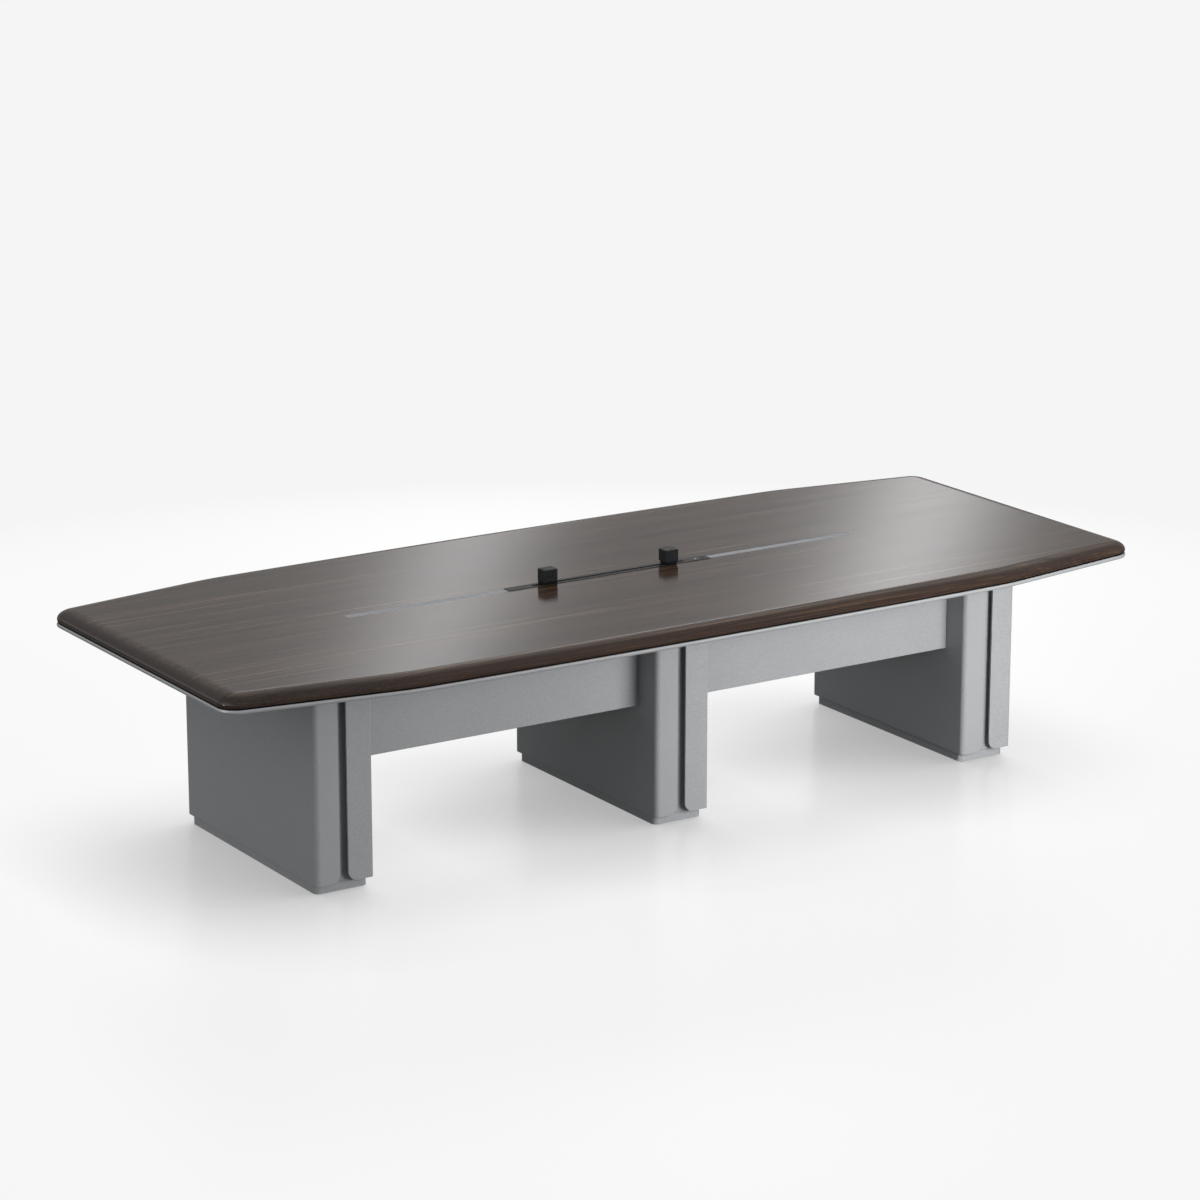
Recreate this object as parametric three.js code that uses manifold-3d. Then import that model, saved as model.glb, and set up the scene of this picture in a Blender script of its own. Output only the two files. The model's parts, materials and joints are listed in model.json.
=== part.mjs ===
// Conference table: a boat-shaped wood top with a metal edge bead, on three slab pedestals joined by aprons,
// with a power track let into the middle of the top and two adapters that slide and twist in it.
// Millimetres, +Z up. The origin is on the floor under the middle of the top, +X runs along the table.
import * as THREE from 'three';
import { mergeVertices } from 'three/addons/utils/BufferGeometryUtils.js';
import Module from 'manifold-3d';

const wasm = await Module();
wasm.setup();

// Clearances
const SEAT_GAP = 0.3; // between pieces that rest on or butt against each other
const RUN_GAP = 0.4; // around pieces that slide or turn
const PASS = 1; // how far cutters run past a face and joined bodies run into each other

// Tabletop outline: square ends, a soft kink on each long side and a gentle bow between the kinks
const TOP_LENGTH = 3510;
const END_WIDTH = 1218;
const KINK_INSET = 601; // distance of each kink from the end
const KINK_RISE = 97; // how far a long side swells from the end to the kink
const BOW_RISE = 14; // further swell from the kink to the middle
const KINK_BLEND = 100; // straight stretch kept beside each kink for its fillet
const KINK_RADIUS = 900;
const CORNER_RADIUS = 70;

// Tabletop layers, from the top surface down
const TABLE_HEIGHT = 750;
const WOOD_THICK = 38;
const WOOD_ROUND = 30; // radius of the upper edge
const WOOD_ARRIS = 4; // radius of the lower edge
const WOOD_SETBACK = 1.5; // wood edge inside the bead's outermost line
const GROOVE_HEIGHT = 3; // shadow groove between wood and bead
const GROOVE_DEPTH = 9;
const BEAD_SIZE = 15; // diameter of the half-round bead
const TRIM_WIDTH = 32; // reach of the trim under the top
const TRIM_JOINT_INSET = 305; // butt joints of the trim, from the end
const SUBTOP_THICK = 15;

// Pedestals
const PEDESTAL_INSET = 488; // middle of each outer pedestal from the end
const CORE_WIDTH = 162; // along X
const CORE_LENGTH = 846; // along Y, the same for core and plinth
const CORE_WALL = 18;
const CORE_RADIUS = 7;
const PLINTH_WIDTH = 187;
const PLINTH_HEIGHT = 28;
const PLINTH_RADIUS = 20;
const OUTLET_WIDTH = 80; // floor cable outlet through the plinth
const OUTLET_LENGTH = 260;
const OUTLET_RADIUS = 20;
const HEAD_THICK = 6;
const HEAD_MARGIN = 8; // head plate edge inside the core's faces
const WRAP_THICK = 19;
const ROUNDED_WRAP_RADIUS = 18; // vertical corners of the rounded wrap
const ROUNDED_WRAP_REACH = 85; // length of its front and back returns
const ROUNDED_WRAP_LIFT = 2; // its lower edge above the plinth
const ROUNDED_TOE_RADIUS = 30;
const LAPPED_WRAP_RADIUS = 9; // vertical corners of the lapped wrap
const LAPPED_WRAP_REACH = 90;
const LAPPED_RETURN = 7; // thickness of its returns, which stand proud of the rounded wrap
const LAP_GAP = 20; // shadow gap between the core and the lapped returns
const LAPPED_WRAP_LIFT = 6;
const LAPPED_TOE_RADIUS = 32;
const LAPPED_HEEL_RADIUS = 5;
const WINDOW_WIDTH = 200; // cable window from pedestal to tray
const WINDOW_HEIGHT = 55;
const WINDOW_DROP = 14; // window's upper edge below the core's top

// Levelling feet
const FOOT_SPACING_X = 100;
const FOOT_SPACING_Y = 740;
const PAD_DIAMETER = 42;
const PAD_THICK = 7;
const PAD_CHAMFER = 1.5;
const PAD_CLEARANCE = 1;
const FOOT_RECESS = 1; // pad above the floor when screwed right in
const STEM_DIAMETER = 10;
const STEM_LENGTH = 38;

// Aprons and cable trays
const APRON_SETBACK = 105; // apron face behind the face of the rounded wrap
const APRON_THICK = 18;
const APRON_BOTTOM = 391;
const APRON_ARRIS = 2.5;
const TRAY_WIDTH = 240;
const TRAY_DEPTH = 80;
const TRAY_FLANGE = 25;
const TRAY_SHEET = 2;
const TRAY_END_GAP = 25;

// Inlay strips
const INLAY_INSET = 755; // outer end of each strip from the end of the top
const INLAY_WIDTH = 30;
const INLAY_THICK = 2;

// Power track
const TRACK_LENGTH = 800; // over both end housings
const HOUSING_LENGTH = 100;
const TRACK_WIDTH = 36; // cut-out in the wood
const FLANGE_WIDTH = 40;
const FLANGE_THICK = 1.2;
const SLOT_WIDTH = 12;
const LIP_THICK = 5.4; // from the flange's top to the cavity
const CAVITY_WIDTH = 27;
const CAVITY_FLOOR = 6; // wall under the cavity
const LINER_WALL = 3;
const LINER_HEIGHT = 20;
const BUSBAR_HEIGHT = 6;
const BUSBAR_THICK = 2;
const BUSBAR_LIFT = 8; // busbar's lower edge above the cavity's floor
const BUSBAR_END_GAP = 5;
const SWITCH_INSET = 22; // from the end of the track
const SWITCH_DIAMETER = 14;
const SWITCH_HEIGHT = 7;
const SWITCH_PROUD = 0.8;
const SWITCH_TRAVEL = 2;
const SWITCH_SPARE = 1; // room left under the pressed button
const LENS_INSET = 51;
const LENS_DIAMETER = 9;
const LENS_THICK = 3;
const INLET_INSET = 50;
const INLET_BODY = 24; // diameter through the sub-top
const INLET_FLANGE = 38;
const INLET_FLANGE_THICK = 4;
const INLET_COLLAR = 20;
const INLET_COLLAR_LENGTH = 16;
const INLET_BORE = 14;
const INLET_BORE_DEPTH = 12;

// Power adapters
const ADAPTER_X = 240; // each adapter's place from the middle
const CUBE_X = 52;
const CUBE_Y = 45;
const CUBE_TOP = 50; // above the track's flange
const CUBE_RADIUS = 3;
const CUBE_EDGE = 1.5;
const CUBE_WALL = 2.5;
const BASE_HEIGHT = 9;
const BASE_RADIUS = 2.5;
const BASE_INSET = 0.5; // base inside the cube's faces
const NECK_WIDTH = 41; // narrower base of the right adapter
const TONGUE_LENGTH = 40;
const T_FOOT_WIDTH = 18;
const T_FOOT_THICK = 4;
const SPINDLE_DIAMETER = 9;
const SPINDLE_FLANGE_THICK = 3;
const CONTACT_REACH = 9.7; // radius swept by the contact arms
const CONTACT_WIDTH = 6;
const CONTACT_HEIGHT = 4;
const SOCKET_SIZE = 30;
const SOCKET_RADIUS = 3;
const SOCKET_THICK = 8;
const SOCKET_RECESS = 0.4;
const PIN_SLOT_WIDTH = 2.2;
const PIN_SLOT_LENGTH = 7;
const PIN_SPACING = 12.7;
const PIN_SLANT = Math.PI / 6; // lean of the slanted pair
const EARTH_DROP = 5.5; // earth slot below the slanted pair's centre line
const PAIR_RISE = 8; // two-pin pair above the socket's centre
const TRIPLE_DROP = 3; // slanted pair below the socket's centre

// Facets
const ARC_STEPS = 6; // on small quarter rounds, an even number
const FINE_STEPS = 2; // on the smallest edges
const EDGE_STEPS = 8; // on the top's upper edge
const ROUND_STEPS = 14; // on pins, pads and bores
const CORNER_STEP = Math.PI / 20; // turn per facet along the top's outline
const CHORD_STEP = 300; // longest facet on the bow
const WELD = 1e-4;

// Places, levels and half sizes that follow from the values above
const KINK_X = TOP_LENGTH / 2 - KINK_INSET;
const TRIM_JOINT_X = TOP_LENGTH / 2 - TRIM_JOINT_INSET;
const PEDESTAL_PITCH = TOP_LENGTH / 2 - PEDESTAL_INSET;
const INLAY_END_X = TOP_LENGTH / 2 - INLAY_INSET;
const SWITCH_X = TRACK_LENGTH / 2 - SWITCH_INSET;
const LENS_X = TRACK_LENGTH / 2 - LENS_INSET;
const INLET_X = INLET_INSET - TRACK_LENGTH / 2;
const WOOD_BOTTOM = TABLE_HEIGHT - WOOD_THICK;
const TRIM_TOP = WOOD_BOTTOM - SEAT_GAP;
const TRIM_BOTTOM = WOOD_BOTTOM - GROOVE_HEIGHT - BEAD_SIZE;
const SUBTOP_BOTTOM = TRIM_TOP - SUBTOP_THICK;
const FRAME_TOP = SUBTOP_BOTTOM - SEAT_GAP;
const CORE_TOP = FRAME_TOP - HEAD_THICK - SEAT_GAP;
const CORE_BOTTOM = PLINTH_HEIGHT + SEAT_GAP;
const CORE_HALF_X = CORE_WIDTH / 2;
const CORE_HALF_Y = CORE_LENGTH / 2;
const WRAP_FACE_X = CORE_HALF_X + SEAT_GAP + WRAP_THICK;
const ROUNDED_FACE_Y = CORE_HALF_Y + SEAT_GAP + WRAP_THICK;
const LAPPED_FACE_Y = CORE_HALF_Y + LAP_GAP + LAPPED_RETURN;
const BAY_LENGTH = PEDESTAL_PITCH - 2 * WRAP_FACE_X;
const FLANGE_BOTTOM = TABLE_HEIGHT + SEAT_GAP;
const FLANGE_TOP = FLANGE_BOTTOM + FLANGE_THICK;
const TRACK_BOTTOM = WOOD_BOTTOM + SEAT_GAP;
const TRACK_HALF = TRACK_WIDTH / 2 - SEAT_GAP;
const CAVITY_TOP = FLANGE_TOP - LIP_THICK;
const CAVITY_BOTTOM = TRACK_BOTTOM + CAVITY_FLOOR;
const SLOT_HALF_LENGTH = TRACK_LENGTH / 2 - HOUSING_LENGTH;
const BUSBAR_BOTTOM = CAVITY_BOTTOM + BUSBAR_LIFT;

// Materials
const paint = (color, roughness, metalness) =>
  new THREE.MeshStandardMaterial({ color, roughness, metalness, flatShading: true });
const darkWood = paint(0x3a2a22, 0.4, 0);
const beadGrey = paint(0xa9acb0, 0.35, 0.6);
const boardBlack = paint(0x222222, 0.8, 0);
const pedestalGrey = paint(0x7b7d80, 0.5, 0.3);
const bareSteel = paint(0x8c8f93, 0.4, 0.9);
const padBlack = paint(0x1a1a1a, 0.8, 0);
const satinSilver = paint(0xb4b7bb, 0.35, 0.9);
const trackGraphite = paint(0x3b3c3e, 0.4, 0.8);
const linerGrey = paint(0x8a8b8c, 0.7, 0);
const copper = paint(0xb87a4b, 0.35, 1);
const cubeBlack = paint(0x1b1b1c, 0.5, 0);
const socketBlack = paint(0x121213, 0.35, 0);
const lensWhite = paint(0xf2f4f5, 0.2, 0);

// Geometry helpers

const ALONG_X = new THREE.Matrix4().set(0, 0, 1, 0, 1, 0, 0, 0, 0, 1, 0, 0, 0, 0, 0, 1);
const ALONG_Y = new THREE.Matrix4().makeRotationX(Math.PI / 2);

function extrudeZ(shape, low, high) {
  const options = { depth: high - low, bevelEnabled: false, curveSegments: ARC_STEPS / 2 };
  return new THREE.ExtrudeGeometry(shape, options).translate(0, 0, low);
}

// The shape is drawn in Y and Z.
function extrudeX(shape, low, high) {
  return extrudeZ(shape, 0, high - low).applyMatrix4(ALONG_X).translate(low, 0, 0);
}

// The shape is drawn in X and Z.
function extrudeY(shape, low, high) {
  return extrudeZ(shape, 0, high - low).applyMatrix4(ALONG_Y).translate(0, high, 0);
}

function block(low, high) {
  const size = new THREE.Vector3().subVectors(high, low);
  const middle = new THREE.Vector3().addVectors(low, high).multiplyScalar(0.5);
  return new THREE.BoxGeometry(size.x, size.y, size.z).translate(middle.x, middle.y, middle.z);
}

// A block from its middle in X and Y, its two plan sizes and its lower and upper level.
function slab(x, y, sizeX, sizeY, low, high) {
  const from = new THREE.Vector3(x - sizeX / 2, y - sizeY / 2, low);
  return block(from, new THREE.Vector3(x + sizeX / 2, y + sizeY / 2, high));
}

function rod(x, y, diameter, low, high) {
  const radius = diameter / 2;
  const upright = new THREE.CylinderGeometry(radius, radius, high - low, ROUND_STEPS).rotateX(Math.PI / 2);
  return upright.translate(x, y, (low + high) / 2);
}

// A turned piece from its outline, given as [radius, level] pairs that start and end on the axis.
function turned(outline) {
  const points = outline.map(([radius, level]) => new THREE.Vector2(radius, level));
  return new THREE.LatheGeometry(points, ROUND_STEPS).rotateX(Math.PI / 2);
}

function polygon(points) {
  return new THREE.Shape(points.map(([x, y]) => new THREE.Vector2(x, y)));
}

function roundedRect(width, height, radius) {
  const x = width / 2;
  const y = height / 2;
  const shape = new THREE.Shape();
  shape.absarc(x - radius, y - radius, radius, 0, Math.PI / 2);
  shape.absarc(radius - x, y - radius, radius, Math.PI / 2, Math.PI);
  shape.absarc(radius - x, radius - y, radius, Math.PI, 1.5 * Math.PI);
  shape.absarc(x - radius, radius - y, radius, 1.5 * Math.PI, 2 * Math.PI);
  shape.closePath();
  return shape;
}

function toSolid(geometry) {
  const bare = new THREE.BufferGeometry();
  bare.setAttribute('position', geometry.getAttribute('position').clone());
  bare.setIndex(geometry.index);
  const welded = mergeVertices(bare, WELD);
  const vertProperties = Float32Array.from(welded.getAttribute('position').array);
  const triVerts = Uint32Array.from(welded.index.array);
  return new wasm.Manifold(new wasm.Mesh({ numProp: 3, vertProperties, triVerts }));
}

function toGeometry(solid) {
  const { vertProperties, triVerts } = solid.getMesh();
  const geometry = new THREE.BufferGeometry();
  geometry.setAttribute('position', new THREE.BufferAttribute(vertProperties, 3));
  geometry.setIndex(new THREE.BufferAttribute(triVerts, 1));
  return geometry;
}

function join(first, ...others) {
  return toGeometry(others.reduce((solid, other) => solid.add(toSolid(other)), toSolid(first)));
}

function cut(body, ...tools) {
  return toGeometry(tools.reduce((solid, tool) => solid.subtract(toSolid(tool)), toSolid(body)));
}

function overlap(first, second) {
  return toGeometry(toSolid(first).intersect(toSolid(second)));
}

// A closed body through rings of equally many points. Rings run anticlockwise seen from above. When they
// close on themselves the last ring joins the first, and otherwise the first and last ring are capped.
function loft(rings, closed = false) {
  const count = rings[0].length;
  const position = rings.flat().flatMap((point) => [point.x, point.y, point.z]);
  const index = [];
  const spans = closed ? rings.length : rings.length - 1;
  for (let i = 0; i < spans; i += 1) {
    const lower = i * count;
    const upper = ((i + 1) % rings.length) * count;
    for (let j = 0; j < count; j += 1) {
      const next = (j + 1) % count;
      index.push(lower + j, lower + next, upper + next, lower + j, upper + next, upper + j);
    }
  }
  if (!closed) {
    const cap = THREE.ShapeUtils.triangulateShape(rings[0], []);
    const last = (rings.length - 1) * count;
    cap.forEach(([a, b, c]) => index.push(a, c, b, last + a, last + b, last + c));
  }
  const geometry = new THREE.BufferGeometry();
  geometry.setAttribute('position', new THREE.Float32BufferAttribute(position, 3));
  geometry.setIndex(index);
  return geometry;
}

// Points of a quarter circle about a centre, from one angle to another, both given in quarter turns.
function quarter(centreX, centreY, radius, from, to, steps = ARC_STEPS) {
  return Array.from({ length: steps + 1 }, (_, i) => {
    const angle = (from + ((to - from) * i) / steps) * (Math.PI / 2);
    return new THREE.Vector2(centreX + radius * Math.cos(angle), centreY + radius * Math.sin(angle));
  });
}

function piece(name, geometry, material) {
  const mesh = new THREE.Mesh(geometry, material);
  mesh.name = name;
  return mesh;
}

// Tabletop outline

// The anticlockwise outline with every corner filleted, each point with the direction that leads inwards.
function filletedOutline(corners) {
  const points = [];
  corners.forEach(({ at, radius }, i) => {
    const before = corners[(i + corners.length - 1) % corners.length].at;
    const after = corners[(i + 1) % corners.length].at;
    const arriving = new THREE.Vector2().subVectors(at, before).normalize();
    const leaving = new THREE.Vector2().subVectors(after, at).normalize();
    const turn = Math.atan2(arriving.cross(leaving), arriving.dot(leaving));
    const tangent = radius * Math.tan(turn / 2);
    const inward = new THREE.Vector2(-arriving.y, arriving.x);
    const centre = at.clone().addScaledVector(arriving, -tangent).addScaledVector(inward, radius);
    const steps = Math.ceil(Math.max(turn / CORNER_STEP, (radius * turn) / CHORD_STEP));
    for (let j = 0; j <= steps; j += 1) {
      const normal = inward.clone().rotateAround(new THREE.Vector2(), (turn * j) / steps);
      points.push({ at: centre.clone().addScaledVector(normal, -radius), normal });
    }
  });
  return points;
}

function boatOutline() {
  const bowReach = KINK_X - KINK_BLEND;
  const bowRadius = (bowReach ** 2 / 2 + bowReach * KINK_BLEND) / BOW_RISE;
  const kinkY = END_WIDTH / 2 + KINK_RISE;
  const apexY = kinkY + (KINK_X * bowReach) / bowRadius;
  const side = [
    { at: new THREE.Vector2(TOP_LENGTH / 2, END_WIDTH / 2), radius: CORNER_RADIUS },
    { at: new THREE.Vector2(KINK_X, kinkY), radius: KINK_RADIUS },
    { at: new THREE.Vector2(0, apexY), radius: bowRadius },
    { at: new THREE.Vector2(-KINK_X, kinkY), radius: KINK_RADIUS },
    { at: new THREE.Vector2(-TOP_LENGTH / 2, END_WIDTH / 2), radius: CORNER_RADIUS },
  ];
  const opposite = side.map(({ at, radius }) => ({ at: at.clone().negate(), radius }));
  return filletedOutline([...side, ...opposite]);
}

const outline = boatOutline();

function outlineRing(inset, level) {
  return outline.map(({ at, normal }) => {
    const point = at.clone().addScaledVector(normal, inset);
    return new THREE.Vector3(point.x, point.y, level);
  });
}

// Tabletop pieces

function woodTop() {
  const lowerArc = quarter(WOOD_SETBACK + WOOD_ARRIS, WOOD_BOTTOM + WOOD_ARRIS, WOOD_ARRIS, 3, 2, FINE_STEPS);
  const upperX = WOOD_SETBACK + WOOD_ROUND;
  const upperArc = quarter(upperX, TABLE_HEIGHT - WOOD_ROUND, WOOD_ROUND, 2, 1, EDGE_STEPS);
  const rings = [...lowerArc, ...upperArc].map((point) => outlineRing(point.x, point.y));
  const trackCut = slab(0, 0, TRACK_LENGTH, TRACK_WIDTH, WOOD_BOTTOM - PASS, TABLE_HEIGHT + PASS);
  const inlayCuts = [-1, 1].map((side) => {
    const inner = TRACK_LENGTH / 2 - PASS;
    const length = INLAY_END_X + SEAT_GAP - inner;
    const low = TABLE_HEIGHT - INLAY_THICK - SEAT_GAP;
    return slab(side * (inner + length / 2), 0, length, INLAY_WIDTH + 2 * SEAT_GAP, low, TABLE_HEIGHT + PASS);
  });
  return cut(loft(rings), trackCut, ...inlayCuts);
}

function trimRing() {
  const bead = BEAD_SIZE / 2;
  const beadArc = quarter(bead, TRIM_BOTTOM + bead, bead, 3, 1, 2 * ARC_STEPS);
  const profile = [
    new THREE.Vector2(TRIM_WIDTH, TRIM_BOTTOM),
    ...beadArc,
    new THREE.Vector2(GROOVE_DEPTH, TRIM_BOTTOM + BEAD_SIZE),
    new THREE.Vector2(GROOVE_DEPTH, TRIM_TOP),
    new THREE.Vector2(TRIM_WIDTH, TRIM_TOP),
  ];
  return loft(profile.map((point) => outlineRing(point.x, point.y)), true);
}

function trimPieces() {
  const ring = trimRing();
  const farX = TOP_LENGTH;
  const farY = END_WIDTH + KINK_RISE + BOW_RISE;
  const jointX = TRIM_JOINT_X - SEAT_GAP / 2;
  const sides = [['front', -1], ['back', 1]].map(([name, side]) => {
    const length = slab(0, side * farY, 2 * jointX, 2 * farY, 0, TABLE_HEIGHT);
    return piece(`${name}_edge_trim`, overlap(ring, length), beadGrey);
  });
  const ends = [['left', -1], ['right', 1]].map(([name, side]) => {
    const middle = side * (TRIM_JOINT_X + SEAT_GAP / 2 + farX / 2);
    const end = slab(middle, 0, farX, 2 * farY, 0, TABLE_HEIGHT);
    return piece(`${name}_edge_trim`, overlap(ring, end), beadGrey);
  });
  return [...sides, ...ends];
}

function subTop() {
  const edge = outlineRing(TRIM_WIDTH + SEAT_GAP, 0).map((point) => new THREE.Vector2(point.x, point.y));
  const shape = new THREE.Shape(edge);
  const hole = rod(INLET_X, 0, INLET_BODY + 2 * SEAT_GAP, SUBTOP_BOTTOM - PASS, TRIM_TOP + PASS);
  return cut(extrudeZ(shape, SUBTOP_BOTTOM, TRIM_TOP), hole);
}

function inlayStrip(side) {
  const inner = TRACK_LENGTH / 2 + SEAT_GAP;
  const middle = side * (inner + INLAY_END_X) / 2;
  return slab(middle, 0, INLAY_END_X - inner, INLAY_WIDTH, TABLE_HEIGHT - INLAY_THICK, TABLE_HEIGHT);
}

// Power track

// The outer section of the track and its end housings, drawn in Y and Z, with anything cut into its top.
function trackSection(recess = []) {
  const half = FLANGE_WIDTH / 2;
  return polygon([
    [half, FLANGE_BOTTOM],
    [half, FLANGE_TOP],
    ...recess,
    [-half, FLANGE_TOP],
    [-half, FLANGE_BOTTOM],
    [-TRACK_HALF, FLANGE_BOTTOM],
    [-TRACK_HALF, TRACK_BOTTOM],
    [TRACK_HALF, TRACK_BOTTOM],
    [TRACK_HALF, FLANGE_BOTTOM],
  ]);
}

function trackBody() {
  const slot = SLOT_WIDTH / 2;
  const cavity = CAVITY_WIDTH / 2;
  const section = trackSection([
    [slot, FLANGE_TOP],
    [slot, CAVITY_TOP],
    [cavity, CAVITY_TOP],
    [cavity, CAVITY_BOTTOM],
    [-cavity, CAVITY_BOTTOM],
    [-cavity, CAVITY_TOP],
    [-slot, CAVITY_TOP],
    [-slot, FLANGE_TOP],
  ]);
  return extrudeX(section, -SLOT_HALF_LENGTH, SLOT_HALF_LENGTH);
}

function feedHousing() {
  return extrudeX(trackSection(), -TRACK_LENGTH / 2 + SEAT_GAP, -SLOT_HALF_LENGTH - SEAT_GAP);
}

function switchHousing() {
  const body = extrudeX(trackSection(), SLOT_HALF_LENGTH + SEAT_GAP, TRACK_LENGTH / 2 - SEAT_GAP);
  const switchFloor = FLANGE_TOP + SWITCH_PROUD - SWITCH_HEIGHT - SWITCH_TRAVEL - SWITCH_SPARE;
  const switchBore = rod(SWITCH_X, 0, SWITCH_DIAMETER + 2 * RUN_GAP, switchFloor, FLANGE_TOP + PASS);
  const lensFloor = FLANGE_TOP - LENS_THICK - SEAT_GAP;
  const lensBore = rod(LENS_X, 0, LENS_DIAMETER + 2 * SEAT_GAP, lensFloor, FLANGE_TOP + PASS);
  return cut(body, switchBore, lensBore);
}

// One insulating strip along a side wall of the cavity, with a groove that holds a busbar.
function trackLiner(side) {
  const outer = CAVITY_WIDTH / 2 - SEAT_GAP;
  const inner = outer - LINER_WALL;
  const low = CAVITY_BOTTOM + SEAT_GAP;
  const high = low + LINER_HEIGHT;
  const groove = inner + BUSBAR_THICK + SEAT_GAP;
  const grooveLow = BUSBAR_BOTTOM - SEAT_GAP;
  const grooveHigh = BUSBAR_BOTTOM + BUSBAR_HEIGHT + SEAT_GAP;
  const section = polygon([
    [outer, low],
    [outer, high],
    [inner, high],
    [inner, grooveHigh],
    [groove, grooveHigh],
    [groove, grooveLow],
    [inner, grooveLow],
    [inner, low],
  ]);
  const strip = extrudeX(section, -SLOT_HALF_LENGTH, SLOT_HALF_LENGTH);
  return side > 0 ? strip : strip.rotateZ(Math.PI);
}

function busbar(side) {
  const inner = CAVITY_WIDTH / 2 - SEAT_GAP - LINER_WALL;
  const length = 2 * (SLOT_HALF_LENGTH - BUSBAR_END_GAP);
  const middle = side * (inner + BUSBAR_THICK / 2);
  return slab(0, middle, length, BUSBAR_THICK, BUSBAR_BOTTOM, BUSBAR_BOTTOM + BUSBAR_HEIGHT);
}

function feedInlet() {
  const body = INLET_BODY / 2;
  const flange = INLET_FLANGE / 2;
  const collar = INLET_COLLAR / 2;
  const bore = INLET_BORE / 2;
  const seat = SUBTOP_BOTTOM - SEAT_GAP;
  const shoulder = seat - INLET_FLANGE_THICK;
  const mouth = shoulder - INLET_COLLAR_LENGTH;
  const inlet = turned([
    [0, mouth + INLET_BORE_DEPTH],
    [bore, mouth + INLET_BORE_DEPTH],
    [bore, mouth],
    [collar, mouth],
    [collar, shoulder],
    [flange, shoulder],
    [flange, seat],
    [body, seat],
    [body, WOOD_BOTTOM],
    [0, WOOD_BOTTOM],
  ]);
  return inlet.translate(INLET_X, 0, 0);
}

function switchButton() {
  const high = FLANGE_TOP + SWITCH_PROUD;
  return rod(SWITCH_X, 0, SWITCH_DIAMETER, high - SWITCH_HEIGHT, high);
}

function indicatorLens() {
  return rod(LENS_X, 0, LENS_DIAMETER, FLANGE_TOP - LENS_THICK, FLANGE_TOP);
}

function powerTrack() {
  const group = new THREE.Group();
  group.add(piece('track_body', trackBody(), trackGraphite));
  group.add(piece('track_feed_housing', feedHousing(), trackGraphite));
  group.add(piece('track_switch_housing', switchHousing(), trackGraphite));
  group.add(piece('front_track_liner', trackLiner(-1), linerGrey));
  group.add(piece('back_track_liner', trackLiner(1), linerGrey));
  group.add(piece('front_busbar', busbar(-1), copper));
  group.add(piece('back_busbar', busbar(1), copper));
  group.add(piece('feed_inlet', feedInlet(), padBlack));
  group.add(piece('switch_button', switchButton(), cubeBlack));
  group.add(piece('indicator_lens', indicatorLens(), lensWhite));
  return group;
}

// Power adapters, each about its own upright axis

const BASE_BOTTOM = FLANGE_TOP + SEAT_GAP;
const BASE_TOP = BASE_BOTTOM + BASE_HEIGHT;
const CUBE_BOTTOM = BASE_TOP + RUN_GAP;
const CUBE_HIGH = FLANGE_TOP + CUBE_TOP;

// The base rides on the track's flange, with a tongue in the slot and a T-foot under the lips.
function sliderBase(width) {
  const plate = extrudeZ(roundedRect(width, CUBE_Y - 2 * BASE_INSET, BASE_RADIUS), BASE_BOTTOM, BASE_TOP);
  const footTop = CAVITY_TOP - RUN_GAP;
  const tongue = slab(0, 0, TONGUE_LENGTH, SLOT_WIDTH - 2 * RUN_GAP, footTop - PASS, BASE_BOTTOM + PASS);
  const foot = slab(0, 0, TONGUE_LENGTH, T_FOOT_WIDTH, footTop - T_FOOT_THICK, footTop);
  const bore = rod(0, 0, SPINDLE_DIAMETER + 2 * RUN_GAP, footTop - T_FOOT_THICK - PASS, BASE_TOP + PASS);
  return cut(join(plate, tongue, foot), bore);
}

function cubeRing(inset, level) {
  const shape = roundedRect(CUBE_X - 2 * inset, CUBE_Y - 2 * inset, CUBE_RADIUS - inset);
  const ring = shape.getPoints(ARC_STEPS / 2).slice(0, -1);
  return ring.map((point) => new THREE.Vector3(point.x, point.y, level));
}

function socketOpening() {
  return roundedRect(SOCKET_SIZE + 2 * SEAT_GAP, SOCKET_SIZE + 2 * SEAT_GAP, SOCKET_RADIUS);
}

const SOCKET_LEVEL = (CUBE_BOTTOM + CUBE_HIGH) / 2;

function cubeShell(socketOnTop) {
  const edge = quarter(CUBE_EDGE, CUBE_HIGH - CUBE_EDGE, CUBE_EDGE, 2, 1, FINE_STEPS);
  const rings = [new THREE.Vector2(0, CUBE_BOTTOM), ...edge].map((point) => cubeRing(point.x, point.y));
  const insideX = CUBE_X - 2 * CUBE_WALL;
  const insideY = CUBE_Y - 2 * CUBE_WALL;
  const inside = slab(0, 0, insideX, insideY, CUBE_BOTTOM - PASS, CUBE_HIGH - CUBE_WALL);
  const topWindow = extrudeZ(socketOpening(), CUBE_HIGH - 2 * CUBE_WALL, CUBE_HIGH + PASS);
  const frontWindow = extrudeY(socketOpening(), -CUBE_Y / 2 - PASS, 2 * CUBE_WALL - CUBE_Y / 2);
  return cut(loft(rings), inside, socketOnTop ? topWindow : frontWindow.translate(0, 0, SOCKET_LEVEL));
}

// A pin slot through a socket face that lies flat under level 0, turned by an angle about its own centre.
function pinSlot(x, y, angle) {
  const slot = slab(0, 0, PIN_SLOT_WIDTH, PIN_SLOT_LENGTH, -SOCKET_THICK - PASS, PASS);
  return slot.rotateZ(angle).translate(x, y, 0);
}

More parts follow.
